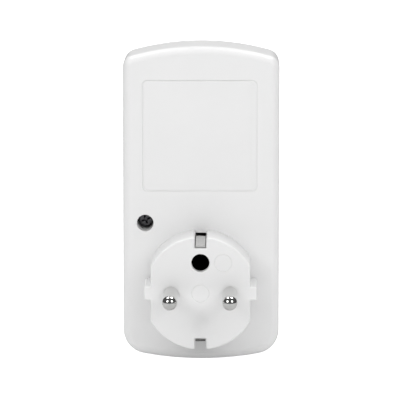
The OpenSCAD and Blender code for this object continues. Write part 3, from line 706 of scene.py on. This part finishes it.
def shutter_spring():
    """A wire's round section carried along a helix about an upright axis: the section turns with the
    helix, and the height grows evenly from the lower end to the upper."""
    turns, wire = 8, 0.25
    middle = (SPRING_LOW + SPRING_HIGH) / 2
    coil = (SPRING_HIGH[0] - SPRING_LOW[0]) / 2 - wire
    share = np.linspace(0, 1, turns * 24 + 1)[:, None]
    round_axis, section = 2 * pi * turns * share, np.radians(np.arange(0, 360, 36))[None]
    reach = coil + wire * np.cos(section)
    length = SPRING_HIGH[2] - SPRING_LOW[2]
    height = SPRING_LOW[2] + wire + (length - 2 * wire) * share + wire * np.sin(section)
    rings = np.stack([
        middle[0] + reach * np.cos(round_axis), middle[1] + reach * np.sin(round_axis), height], axis=2)
    piece = Solid().grid(rings).build("shutter_coil", 60)
    close_ends(piece)
    finish(piece, "case", "screw_steel", "shutter_spring")
    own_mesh(piece)


def close_ends(piece):
    """Fills the openings left at the ends of a strip or a wire."""
    work = bmesh.new()
    work.from_mesh(piece.data)
    bmesh.ops.holes_fill(work, edges=[e for e in work.edges if e.is_boundary], sides=0)
    bmesh.ops.recalc_face_normals(work, faces=work.faces)
    work.to_mesh(piece.data)
    work.free()


# ---------------------------------------------------------------- display and keys


def display_window():
    """A clear plate with round corners and a softened front edge."""
    low, high = WINDOW_LOW, WINDOW_HIGH
    loop = rounded(0, WINDOW_Z, high[0] - low[0], high[2] - low[2], 1.5)
    soft = 0.25
    rounded_front = [(high[1] + low[1] - y, inset) for y, inset in edge_in(low[1], soft, 4)]
    solid = Solid().wall(loop, rounded_front + [(low[1], 0)])
    solid.panel(high[1], drawn_in(loop, soft)).panel(low[1], loop)
    finish(solid.build("window_lens"), "case", "window_clear", "display_window")


SEGMENTS = {
    "a": (0, 1, False), "b": (0.5, 0.5, True), "c": (0.5, -0.5, True), "d": (0, -1, False),
    "e": (-0.5, -0.5, True), "f": (-0.5, 0.5, True), "g": (0, 0, False),
}
DIGITS = {"0": "abcdef", "2": "abged", "3": "abgcd"}


def bar_segment(x, z, length, thick, upright):
    """A six-sided bar with pointed ends."""
    a, b = length / 2, thick / 2
    points = np.array([(a, 0), (a - b, b), (b - a, b), (-a, 0), (b - a, -b), (a - b, -b)])
    if upright:
        points = points[:, ::-1] * (-1, 1)
    return points + (x, z)


def digit_loops(lit, x, z, width, height, thick, lean=0.09):
    """The bars of one seven-bar figure. Seen from the front, X runs to the left, so it is mirrored."""
    loops = []
    for key in lit:
        across, up, upright = SEGMENTS[key]
        length = (height / 2 if upright else width) - thick * 0.35
        loop = bar_segment(across * width, up * height / 2, length, thick, upright)
        loop[:, 0] += lean * loop[:, 1]
        loops.append((loop * (-1, 1) + (x, z))[::-1])
    return loops


def thin_plates(name, loops, low, high, slot, body="case"):
    """Each loop as a thin plate between two depths."""
    solid = Solid()
    for loop in loops:
        solid.wall(loop, [(low, 0), (high, 0)])
        solid.panel(low, loop).panel(high, loop)
    finish(solid.build(name), body, slot)


def display_figures():
    """Dark bars that stand for the lit ones, and faint ones for the rest: a row of four large figures,
    a row of four small ones and two rules."""
    low = LCD_HIGH[1] + 0.01
    lit, unlit = [], []
    rows = (("2300", 3.6, 4.1, 7.6, 1.05, 7.1), ("0000", -7.4, 2.1, 3.8, 0.55, 3.9))
    for figures, row_z, width, height, thick, pitch in rows:
        for i, figure in enumerate(figures):
            x = pitch * (1.5 - i)
            on = DIGITS[figure]
            off = "".join(key for key in SEGMENTS if key not in on)
            lit += digit_loops(on, x, WINDOW_Z + row_z, width, height, thick)
            unlit += digit_loops(off, x, WINDOW_Z + row_z, width, height, thick)
    point = circle(-6.75, WINDOW_Z - 0.2, 0.5, 16)
    rule = rounded(0, WINDOW_Z - 3.2, 30, 0.22, 0.1, 2)
    thin_plates("lcd_lit_bars", [*lit, point, rule], low, low + 0.02, "black_epoxy")
    thin_plates("lcd_unlit_bars", unlit, low, low + 0.01, "lcd_layers")


def mark_loop(name):
    """The raised mark on a key: a disc, a bolt, a triangle down, a triangle up or a bar."""
    x, z, _, _ = key_place(name)
    bolt = np.array([(-0.5, 1.3), (-0.15, 0.2), (-1.0, 0.2)])
    arrow = np.array([(0, 1.05), (-1.25, -0.85), (1.25, -0.85)])
    shapes = {
        "cost_key": circle(0, 0, 0.95, 32),
        "energy_key": np.concatenate([bolt, -bolt]),
        "down_key": filleted(arrow * (-1, -1), (0.2,) * 3),
        "up_key": filleted(arrow, (0.2,) * 3),
        "mode_key": rounded(0, 0, 3.0, 0.9, 0.44, 6),
    }
    loop = shapes[name]
    area = (loop[:, 0] * np.roll(loop[:, 1], -1) - np.roll(loop[:, 0], -1) * loop[:, 1]).sum()
    return (loop if area > 0 else loop[::-1]) + (x, z)


def press_key(name):
    """A cap whose rounded top rises to its middle, on a flange and a round stem."""
    low, high = corners(name)
    x, z, _, half_z = key_place(name)
    cap, flange = key_loop(name), key_loop(name, KEY_FLANGE)
    soft, crown, mark_up = 0.55, 0.22, 0.06
    top = high[1] - crown - mark_up
    inner, stem_r = half_z - 0.5, 1.6
    rise = np.linspace(0, 1, 7)[1:]
    crown_rings = [(top + crown * sin(pi / 2 * t), soft + (inner - soft) * t) for t in rise]
    flange_back = FRONT_IN - 1.1
    flange_front = flange_back + 1
    edge = [(2 * top - y, inset) for y, inset in edge_in(top, soft, 8)]
    solid = Solid().wall(cap, crown_rings[::-1] + edge + [(flange_front, 0)])
    solid.panel(crown_rings[-1][0], drawn_in(cap, crown_rings[-1][1]))
    solid.panel(flange_front, flange, cap)
    solid.wall(flange, [(flange_front, 0), (flange_back, 0)])
    stem = circle(x, z, stem_r, 32)
    solid.panel(flange_back, flange, stem)
    solid.wall(stem, [(flange_back, 0), (low[1], 0)])
    solid.panel(low[1], stem)
    finish(solid.build(name + "_cap"), name, "key_grey", name)
    thin_plates(name + "_mark", [mark_loop(name)], top + crown * 0.6, high[1] - 0.005, "shell_white", name)


# ---------------------------------------------------------------- shader node groups


def new_group(name, inputs, outputs):
    """An empty shader node group with named sockets, each (name, kind, default)."""
    group = bpy.data.node_groups.new(name, "ShaderNodeTree")
    for title, kind, value in inputs:
        socket = group.interface.new_socket(title, in_out="INPUT", socket_type="NodeSocket" + kind)
        socket.default_value = value
    for title, kind in outputs:
        group.interface.new_socket(title, in_out="OUTPUT", socket_type="NodeSocket" + kind)
    return group


class Tree:
    """Short ways to place and join nodes in a material's tree or in a group's."""

    def __init__(self, tree):
        self.tree = tree

    def node(self, kind, settings=None, **inputs):
        node = self.tree.nodes.new("ShaderNode" + kind)
        for key, value in (settings or {}).items():
            setattr(node, key, value)
        for key, value in inputs.items():
            self.feed(self.socket(node, key), value)
        return node

    @staticmethod
    def socket(node, key):
        if key.startswith("in_"):
            return node.inputs[int(key[3:])]
        return node.inputs[key.replace("_", " ")]

    def feed(self, socket, value):
        if isinstance(value, bpy.types.NodeSocket):
            self.tree.links.new(value, socket)
        elif isinstance(value, bpy.types.Node):
            self.tree.links.new(value.outputs[0], socket)
        else:
            socket.default_value = value

    def noise(self, place, scale, detail=3.0, roughness=0.5):
        node = self.node("TexNoise", Scale=scale, Detail=detail, Roughness=roughness)
        self.feed(node.inputs["Vector"], place)
        return node.outputs[0]

    def spread(self, value, low, high, to_low=0.0, to_high=1.0):
        """Maps a value's range from low..high to another, clamped."""
        return self.node(
            "MapRange", in_0=value, in_1=low, in_2=high, in_3=to_low, in_4=to_high).outputs[0]

    def maths(self, kind, a, b):
        return self.node("Math", {"operation": kind}, in_0=a, in_1=b).outputs[0]

    def blend(self, factor, a, b, kind="MIX"):
        mix = self.node("Mix", {"data_type": "RGBA", "blend_type": kind})
        for socket, value in ((mix.inputs[0], factor), (mix.inputs[6], a), (mix.inputs[7], b)):
            self.feed(socket, value)
        return mix.outputs[2]


def group_ends(group):
    """The input and output nodes of a group."""
    return group.nodes.new("NodeGroupInput"), group.nodes.new("NodeGroupOutput")


def moulded_skin():
    """Moulded plastic: broad flow marks and a faint mottle change its colour, and a fine grain its height
    and its roughness."""
    group = new_group("Moulded skin", [
        ("Colour", "Color", (0.8, 0.8, 0.8, 1)), ("Mottle", "Float", 0.03), ("Grain size", "Float", 0.0003),
        ("Roughness low", "Float", 0.3), ("Roughness high", "Float", 0.4),
    ], [("Colour", "Color"), ("Roughness", "Float"), ("Height", "Float")])
    tree = Tree(group)
    start, end = group_ends(group)
    place = tree.node("TexCoord").outputs["Object"]
    flow = tree.noise(place, 60.0, 4.0, 0.55)
    grain_scale = tree.maths("DIVIDE", 1.0, start.outputs["Grain size"])
    grain = tree.noise(place, grain_scale, 2.0, 0.6)
    smudge = tree.noise(place, 220.0, 3.0, 0.6)
    dark = tree.maths("SUBTRACT", 1.0, start.outputs["Mottle"])
    shade = tree.spread(flow, 0.3, 0.7, dark, 1.0)
    grey = tree.node("CombineColor", in_0=shade, in_1=shade, in_2=shade).outputs[0]
    tree.feed(end.inputs["Colour"], tree.blend(1.0, start.outputs["Colour"], grey, "MULTIPLY"))
    mixed = tree.maths("MULTIPLY", tree.maths("ADD", smudge, grain), 0.5)
    tree.feed(end.inputs["Roughness"], tree.spread(
        mixed, 0.35, 0.65, start.outputs["Roughness low"], start.outputs["Roughness high"]))
    tree.feed(end.inputs["Height"], grain)


def rubbed_edges():
    """Wear along convex edges: pointiness above its middle, broken up by noise, mixes to a worn colour."""
    group = new_group("Rubbed edges", [
        ("Colour", "Color", (0.5, 0.5, 0.5, 1)), ("Worn colour", "Color", (0.8, 0.8, 0.8, 1)),
        ("Amount", "Float", 0.5),
    ], [("Colour", "Color"), ("Mask", "Float")])
    tree = Tree(group)
    start, end = group_ends(group)
    place = tree.node("TexCoord").outputs["Object"]
    point = tree.node("NewGeometry").outputs["Pointiness"]
    edge = tree.spread(point, 0.505, 0.56)
    broken = tree.spread(tree.noise(place, 900.0, 4.0, 0.7), 0.4, 0.62)
    mask = tree.maths("MULTIPLY", tree.maths("MULTIPLY", edge, broken), start.outputs["Amount"])
    tree.feed(end.inputs["Colour"], tree.blend(mask, start.outputs["Colour"], start.outputs["Worn colour"]))
    tree.feed(end.inputs["Mask"], mask)


def settled_dust():
    """Dust on faces that look up: the normal's height times a patchy noise mixes to a dull colour and
    raises the roughness."""
    group = new_group("Settled dust", [
        ("Colour", "Color", (0.8, 0.8, 0.8, 1)), ("Dust", "Color", (0.62, 0.60, 0.57, 1)),
        ("Amount", "Float", 0.1), ("Roughness", "Float", 0.3),
    ], [("Colour", "Color"), ("Roughness", "Float")])
    tree = Tree(group)
    start, end = group_ends(group)
    place = tree.node("TexCoord").outputs["Object"]
    normal = tree.node("NewGeometry").outputs["Normal"]
    up = tree.spread(tree.node("SeparateXYZ", in_0=normal).outputs[2], 0.3, 1.0)
    patch = tree.spread(tree.noise(place, 350.0, 5.0, 0.7), 0.42, 0.7)
    mask = tree.maths("MULTIPLY", tree.maths("MULTIPLY", up, patch), start.outputs["Amount"])
    tree.feed(end.inputs["Colour"], tree.blend(mask, start.outputs["Colour"], start.outputs["Dust"]))
    tree.feed(end.inputs["Roughness"], tree.spread(mask, 0.0, 1.0, start.outputs["Roughness"], 0.9))


def drawn_metal():
    """Metal worked along one axis: noise squeezed along Y gives fine lines in its height and roughness, and
    broad patches tarnish its colour."""
    group = new_group("Drawn metal", [
        ("Colour", "Color", (0.8, 0.8, 0.8, 1)), ("Tarnish", "Color", (0.5, 0.45, 0.4, 1)),
        ("Tarnish amount", "Float", 0.2), ("Line size", "Float", 0.0001), ("Stretch", "Float", 12.0),
        ("Roughness low", "Float", 0.15), ("Roughness high", "Float", 0.3),
    ], [("Colour", "Color"), ("Roughness", "Float"), ("Height", "Float")])
    tree = Tree(group)
    start, end = group_ends(group)
    place = tree.node("TexCoord").outputs["Object"]
    across = tree.maths("DIVIDE", 1.0, start.outputs["Line size"])
    along = tree.maths("DIVIDE", across, start.outputs["Stretch"])
    scale = tree.node("CombineXYZ", in_0=across, in_1=along, in_2=across).outputs[0]
    stretched = tree.node("VectorMath", {"operation": "MULTIPLY"}, in_0=place, in_1=scale).outputs[0]
    lines = tree.noise(stretched, 1.0, 2.0, 0.5)
    patch = tree.spread(tree.noise(place, 260.0, 4.0, 0.6), 0.45, 0.75)
    mask = tree.maths("MULTIPLY", patch, start.outputs["Tarnish amount"])
    tree.feed(end.inputs["Colour"], tree.blend(mask, start.outputs["Colour"], start.outputs["Tarnish"]))
    tree.feed(end.inputs["Roughness"], tree.spread(
        lines, 0.3, 0.7, start.outputs["Roughness low"], start.outputs["Roughness high"]))
    tree.feed(end.inputs["Height"], lines)


# ---------------------------------------------------------------- materials


class Finish(Tree):
    """A material: its Principled shader holds the plain values, and groups feed what changes."""

    def __init__(self, name, **plain):
        self.material = bpy.data.materials.new(name)
        self.material.use_nodes = True
        super().__init__(self.material.node_tree)
        self.shader = self.tree.nodes["Principled BSDF"]
        for key, value in plain.items():
            self.shader.inputs[key.replace("_", " ")].default_value = value

    def group(self, name, **inputs):
        node = self.tree.nodes.new("ShaderNodeGroup")
        node.node_tree = bpy.data.node_groups[name]
        for key, value in inputs.items():
            self.feed(node.inputs[key.replace("_", " ")], value)
        return node

    def surface(self, colour, roughness=None, height=None, depth=0.0):
        """Feeds the shader's colour and roughness, and its normal through a bump of a depth in metres."""
        self.feed(self.shader.inputs["Base Color"], colour)
        if roughness is not None:
            self.feed(self.shader.inputs["Roughness"], roughness)
        if height is not None:
            bump = self.node("Bump", Height=height, Distance=depth, Strength=1.0)
            self.feed(self.shader.inputs["Normal"], bump)
        return self.material


def rgba(colour):
    return (*colour, 1.0)


def plastic(name, colour, mottle, grain, low, high, depth, dust=0.0, **plain):
    """Moulded plastic, with a little dust on the faces that look up."""
    made = Finish(name, **plain)
    skin = made.group(
        "Moulded skin", Colour=rgba(colour), Mottle=mottle, Grain_size=grain, Roughness_low=low,
        Roughness_high=high)
    dusty = made.group(
        "Settled dust", Colour=skin.outputs["Colour"], Amount=dust, Roughness=skin.outputs["Roughness"])
    return made.surface(dusty.outputs["Colour"], dusty.outputs["Roughness"], skin.outputs["Height"], depth)


def metal(name, colour, tarnish, amount, low, high, depth=2e-6):
    """Drawn or plated metal whose edges are rubbed bright."""
    made = Finish(name, Metallic=1.0)
    drawn = made.group(
        "Drawn metal", Colour=rgba(colour), Tarnish=rgba(tarnish), Tarnish_amount=amount, Line_size=0.0001,
        Stretch=12.0, Roughness_low=low, Roughness_high=high)
    rubbed = made.group(
        "Rubbed edges", Colour=drawn.outputs["Colour"], Worn_colour=rgba(colour), Amount=0.6)
    height = drawn.outputs["Height"]
    return made.surface(rubbed.outputs["Colour"], drawn.outputs["Roughness"], height, depth)


def laminate(name):
    """Circuit board: a brick pattern of copper tracks under green solder mask, with round pads."""
    made = Finish(name, Coat_Weight=0.4, Coat_Roughness=0.15)
    place = made.node("TexCoord").outputs["Object"]
    face_on = made.node("Mapping", {"vector_type": "POINT"}, Vector=place, Rotation=(pi / 2, 0, 0))
    tracks = made.node(
        "TexBrick", {"offset": 0.5, "squash": 0.6, "squash_frequency": 3}, Vector=face_on, Scale=1.0,
        Mortar_Size=0.0003, Mortar_Smooth=0.2, Brick_Width=0.0055, Row_Height=0.0021)
    line = made.spread(tracks.outputs["Fac"], 0.2, 0.8)
    pads = made.node("TexVoronoi", {"feature": "DISTANCE_TO_EDGE"}, Vector=place, Scale=330.0)
    pad = made.spread(pads.outputs[0], 0.42, 0.46)
    green = made.blend(line, rgba((0.012, 0.11, 0.045)), rgba((0.03, 0.20, 0.08)))
    skin = made.group(
        "Moulded skin", Colour=made.blend(pad, green, rgba((0.55, 0.52, 0.40))), Mottle=0.12,
        Grain_size=0.0002, Roughness_low=0.3, Roughness_high=0.45)
    height = made.maths("ADD", made.maths("MULTIPLY", line, 3.0), skin.outputs["Height"])
    return made.surface(skin.outputs["Colour"], skin.outputs["Roughness"], height, 1e-5)


def window_glass(name):
    """Clear acrylic: it lets light through, and faint smears change its roughness."""
    made = Finish(name, Transmission_Weight=1.0, IOR=1.49)
    skin = made.group(
        "Moulded skin", Colour=(0.97, 0.98, 0.98, 1), Mottle=0.01, Grain_size=0.002, Roughness_low=0.02,
        Roughness_high=0.08)
    return made.surface(skin.outputs["Colour"], skin.outputs["Roughness"])


def label_film(name, colour):
    """Blank label: a slightly rippled film with paper fibres under a thin gloss."""
    made = Finish(name, Coat_Weight=0.25, Coat_Roughness=0.25)
    place = made.node("TexCoord").outputs["Object"]
    ripple = made.noise(place, 130.0, 2.0, 0.5)
    skin = made.group(
        "Moulded skin", Colour=rgba(colour), Mottle=0.02, Grain_size=0.00012, Roughness_low=0.42,
        Roughness_high=0.52)
    height = made.maths("ADD", made.maths("MULTIPLY", ripple, 8.0), skin.outputs["Height"])
    return made.surface(skin.outputs["Colour"], skin.outputs["Roughness"], height, 3e-6)


def colours():
    return bpy.context.scene.meter_colours


# After its name, a plastic's values are its colour, mottle, grain size, lowest and highest roughness, the
# grain's depth and the dust on it. A metal's are its colour, tarnish, how much of that shows, lowest and
# highest roughness, and the lines' depth.
RECIPES = {
    "shell_white": lambda n: plastic(
        n, colours().case, 0.012, 0.00035, 0.30, 0.40, 3e-6, 0.06, Coat_Weight=0.15, Coat_Roughness=0.2),
    "label_film": lambda n: label_film(n, colours().label),
    "nickel_plate": lambda n: metal(n, (0.66, 0.66, 0.65), (0.42, 0.40, 0.37), 0.15, 0.06, 0.12, 5e-7),
    # screw_steel's dark colour is painted shade: it stands in for the shade deep in the case screws' wells.
    # The shutter's spring shares it.
    "screw_steel": lambda n: metal(n, (0.16, 0.16, 0.17), (0.07, 0.06, 0.06), 0.3, 0.25, 0.42),
    "contact_brass": lambda n: metal(n, (0.75, 0.55, 0.24), (0.35, 0.22, 0.10), 0.35, 0.2, 0.35),
    "tinned_copper": lambda n: metal(n, (0.78, 0.42, 0.26), (0.35, 0.18, 0.10), 0.4, 0.22, 0.38),
    "can_steel": lambda n: metal(n, (0.62, 0.62, 0.62), (0.4, 0.38, 0.34), 0.15, 0.25, 0.35),
    "inner_plastic": lambda n: plastic(n, (0.72, 0.72, 0.68), 0.03, 0.0003, 0.5, 0.62, 6e-6),
    "shutter_plastic": lambda n: plastic(n, (0.66, 0.67, 0.67), 0.02, 0.0003, 0.4, 0.5, 4e-6),
    "board_laminate": laminate,
    "black_epoxy": lambda n: plastic(n, (0.018, 0.018, 0.02), 0.3, 0.0002, 0.45, 0.6, 8e-6),
    "film_blue": lambda n: plastic(n, (0.03, 0.09, 0.30), 0.1, 0.0015, 0.15, 0.28, 2e-5, Coat_Weight=0.3),
    "sleeve_green": lambda n: plastic(n, (0.05, 0.22, 0.08), 0.08, 0.0008, 0.2, 0.32, 8e-6),
    "resistor_body": lambda n: plastic(n, (0.14, 0.30, 0.20), 0.15, 0.0003, 0.6, 0.75, 1.2e-5),
    "lead_blue": lambda n: plastic(n, (0.02, 0.09, 0.35), 0.05, 0.0004, 0.35, 0.5, 5e-6),
    "lcd_layers": lambda n: plastic(
        n, (0.44, 0.48, 0.38), 0.02, 0.00012, 0.22, 0.3, 1e-6, Coat_Weight=0.2, Coat_Roughness=0.1),
    "window_clear": window_glass,
    "mat_rubber": lambda n: plastic(n, (0.16, 0.16, 0.17), 0.1, 0.0004, 0.65, 0.8, 1.2e-5),
    "carbon_pill": lambda n: plastic(n, (0.012, 0.012, 0.012), 0.4, 0.0001, 0.75, 0.9, 6e-6),
    "key_grey": lambda n: plastic(n, colours().keys, 0.06, 0.00018, 0.38, 0.5, 8e-6, 0.15),
}


def finish_of(slot):
    """The slot's material, made at its first use."""
    return bpy.data.materials.get(slot + "_finish") or RECIPES[slot](slot + "_finish")


# ---------------------------------------------------------------- stage


def softbox(name, place, aim, width, height, power):
    """A rectangular light at a place, turned to face a point."""
    lamp = bpy.data.lights.new(name, "AREA")
    lamp.shape, lamp.size, lamp.size_y, lamp.energy = "RECTANGLE", width, height, power
    light = bpy.data.objects.new(name, lamp)
    light.location = place
    light.rotation_euler = (Vector(aim) - Vector(place)).to_track_quat("-Z", "Y").to_euler()
    bpy.context.scene.collection.objects.link(light)
    return light


def brightness(tree, seen, light, mirrored):
    """How bright a surface is where the camera looks straight at it, as a source of light, and where
    something shiny mirrors it."""
    path = tree.node("LightPath").outputs
    straight = tree.spread(path["Is Camera Ray"], 0.0, 1.0, light, seen)
    glossy = tree.spread(path["Is Glossy Ray"], 0.0, 1.0, 0.0, light - mirrored)
    return tree.maths("SUBTRACT", straight, glossy)


def build_floor(seen, light, mirrored):
    """A pale disc that the meter stands on, a ring of points round its middle."""
    low, reach = CAD_BOX[0][2] / MM, 6000
    ring = np.insert(circle(0, 0, reach, 96), 2, low, axis=1)
    mesh = bpy.data.meshes.new("floor")
    mesh.from_pydata(ring * MM, [], [list(range(len(ring)))])
    floor = bpy.data.objects.new("floor", mesh)
    bpy.context.scene.collection.objects.link(floor)
    made = Finish("floor_paint", Roughness=0.6)
    made.shader.inputs["Emission Color"].default_value = (1, 1, 1, 1)
    made.feed(made.shader.inputs["Emission Strength"], brightness(made, seen, light, mirrored))
    skin = made.group(
        "Moulded skin", Colour=rgba(colours().floor), Mottle=0.01, Grain_size=0.004, Roughness_low=0.5,
        Roughness_high=0.7)
    floor.data.materials.append(made.surface(skin.outputs["Colour"], skin.outputs["Roughness"]))


def build_world(seen, light, mirrored):
    """A plain room: white where the camera looks straight at it, dimmer as a source of light, and dark
    in reflections, as a studio is round its lamps."""
    world = bpy.data.worlds.new("studio")
    world.use_nodes = True
    room = Tree(world.node_tree)
    background = world.node_tree.nodes["Background"]
    room.feed(background.inputs["Strength"], brightness(room, seen, light, mirrored))
    background.inputs["Color"].default_value = (1, 1, 1, 1)
    bpy.context.scene.world = world
    bpy.context.scene.view_settings.view_transform = "Standard"


def build_camera(sizes):
    """A long lens that looks down at the plug's side, moved up and across from the line through the middle
    of the pins' tips until the whole meter stands in the middle of its view."""
    raised, aside = 0.032904, 0.00011
    distance, tilt, swing = sizes.view_distance, sizes.view_elevation, sizes.view_swing
    ahead = np.array([-sin(swing) * cos(tilt), cos(swing) * cos(tilt), -sin(tilt)])
    across = np.array([cos(swing), sin(swing), 0])
    up = np.cross(across, ahead)
    tips = np.array([0, PIN_LOW[1] * MM, 0])
    place = tips - distance * ahead + raised * up + aside * across
    data = bpy.data.cameras.new("camera")
    data.lens, data.sensor_width = 280.0, 36.0
    data.clip_start, data.clip_end = 0.01, 30
    camera = bpy.data.objects.new("camera", data)
    camera.location = place
    camera.rotation_euler = (pi / 2 - tilt, 0, swing)
    bpy.context.scene.collection.objects.link(camera)
    bpy.context.scene.camera = camera


# ---------------------------------------------------------------- operators


class METER_OT_stage(Operator):
    """Make the floor, the light and the camera"""

    bl_idname = "meter.stage"
    bl_label = "Stage"

    def execute(self, context):
        for make in (moulded_skin, rubbed_edges, settled_dust, drawn_metal):
            make()
        build_floor(seen=1.0, light=0.29, mirrored=0.0)
        build_world(seen=1.0, light=0.3, mirrored=0.1)
        build_camera(context.scene.meter_sizes)
        middle = (0, 0, 0.02)
        for side, name in ((-1, "left"), (1, "right")):
            softbox(f"softbox_front_{name}", (side * 0.62, -0.73, 0.58), middle, 0.48, 0.48, 2.8)
            softbox(f"softbox_top_{name}", (side * 0.42, 0.25, 1.15), middle, 0.44, 0.44, 4.4)
        for name, place, power in (("fill", (0, -1.1, 0.95), 4.0), ("back", (0, 1.2, 0.75), 6.6)):
            softbox("softbox_" + name, place, middle, 1.0, 0.8, power).visible_glossy = False
        return {"FINISHED"}


class METER_OT_case(Operator):
    """Make the two covers, the plug's body, the outlet's floor and the label"""

    bl_idname = "meter.case"
    bl_label = "Case"

    def execute(self, context):
        rear_cover(context.scene.meter_sizes)
        plug_body(context.scene.meter_sizes)
        front_cover()
        outlet_insert()
        rating_label()
        return {"FINISHED"}


class METER_OT_metal(Operator):
    """Make the pins, the earth contacts, the case screws and the shutter's spring"""

    bl_idname = "meter.metal"
    bl_label = "Pins, earth contacts, screws and spring"

    def execute(self, context):
        mains_pins()
        outlet_earth_pin()
        earth_tube()
        earth_bracket()
        case_screws()
        shutter_spring()
        return {"FINISHED"}


class METER_OT_display(Operator):
    """Make the window and the display's figures"""

    bl_idname = "meter.display"
    bl_label = "Display"

    def execute(self, context):
        display_window()
        display_figures()
        return {"FINISHED"}


class METER_OT_keys(Operator):
    """Make the five keys and their raised marks"""

    bl_idname = "meter.keys"
    bl_label = "Keys"

    def execute(self, context):
        for name in KEYS:
            press_key(name)
        return {"FINISHED"}


class METER_OT_inner(Operator):
    """Give every CAD node that stays its slot's finish"""

    bl_idname = "meter.inner"
    bl_label = "Finishes of the inner parts"

    def execute(self, context):
        slots = {part["node"]: part["material_slot"] for part in frame["record"]["subparts"]}
        for name, node in frame["nodes"].items():
            for place in node.material_slots:
                place.material = finish_of(slots[name])
        return {"FINISHED"}


class METER_PT_panel(Panel):
    """Sidebar panel with the meter's sizes, colours and pieces"""

    bl_label = "Power meter"
    bl_idname = "METER_PT_panel"
    bl_space_type = "VIEW_3D"
    bl_region_type = "UI"
    bl_category = "Power meter"

    def draw(self, context):
        for group in (context.scene.meter_sizes, context.scene.meter_colours):
            for name in group.__annotations__:
                self.layout.prop(group, name)
        for step in STEPS:
            self.layout.operator(step.bl_idname)


STEPS = (METER_OT_stage, METER_OT_case, METER_OT_metal, METER_OT_display, METER_OT_keys, METER_OT_inner)
CLASSES = (MeterSizes, MeterColours, *STEPS, METER_PT_panel)


def register():
    for cls in CLASSES:
        bpy.utils.register_class(cls)
    bpy.types.Scene.meter_sizes = PointerProperty(type=MeterSizes)
    bpy.types.Scene.meter_colours = PointerProperty(type=MeterColours)


def unregister():
    del bpy.types.Scene.meter_colours
    del bpy.types.Scene.meter_sizes
    for cls in reversed(CLASSES):
        bpy.utils.unregister_class(cls)


def main():
    register()
    for step in STEPS:
        group, name = step.bl_idname.split(".")
        getattr(getattr(bpy.ops, group), name)()


if __name__ == "__main__":
    main()
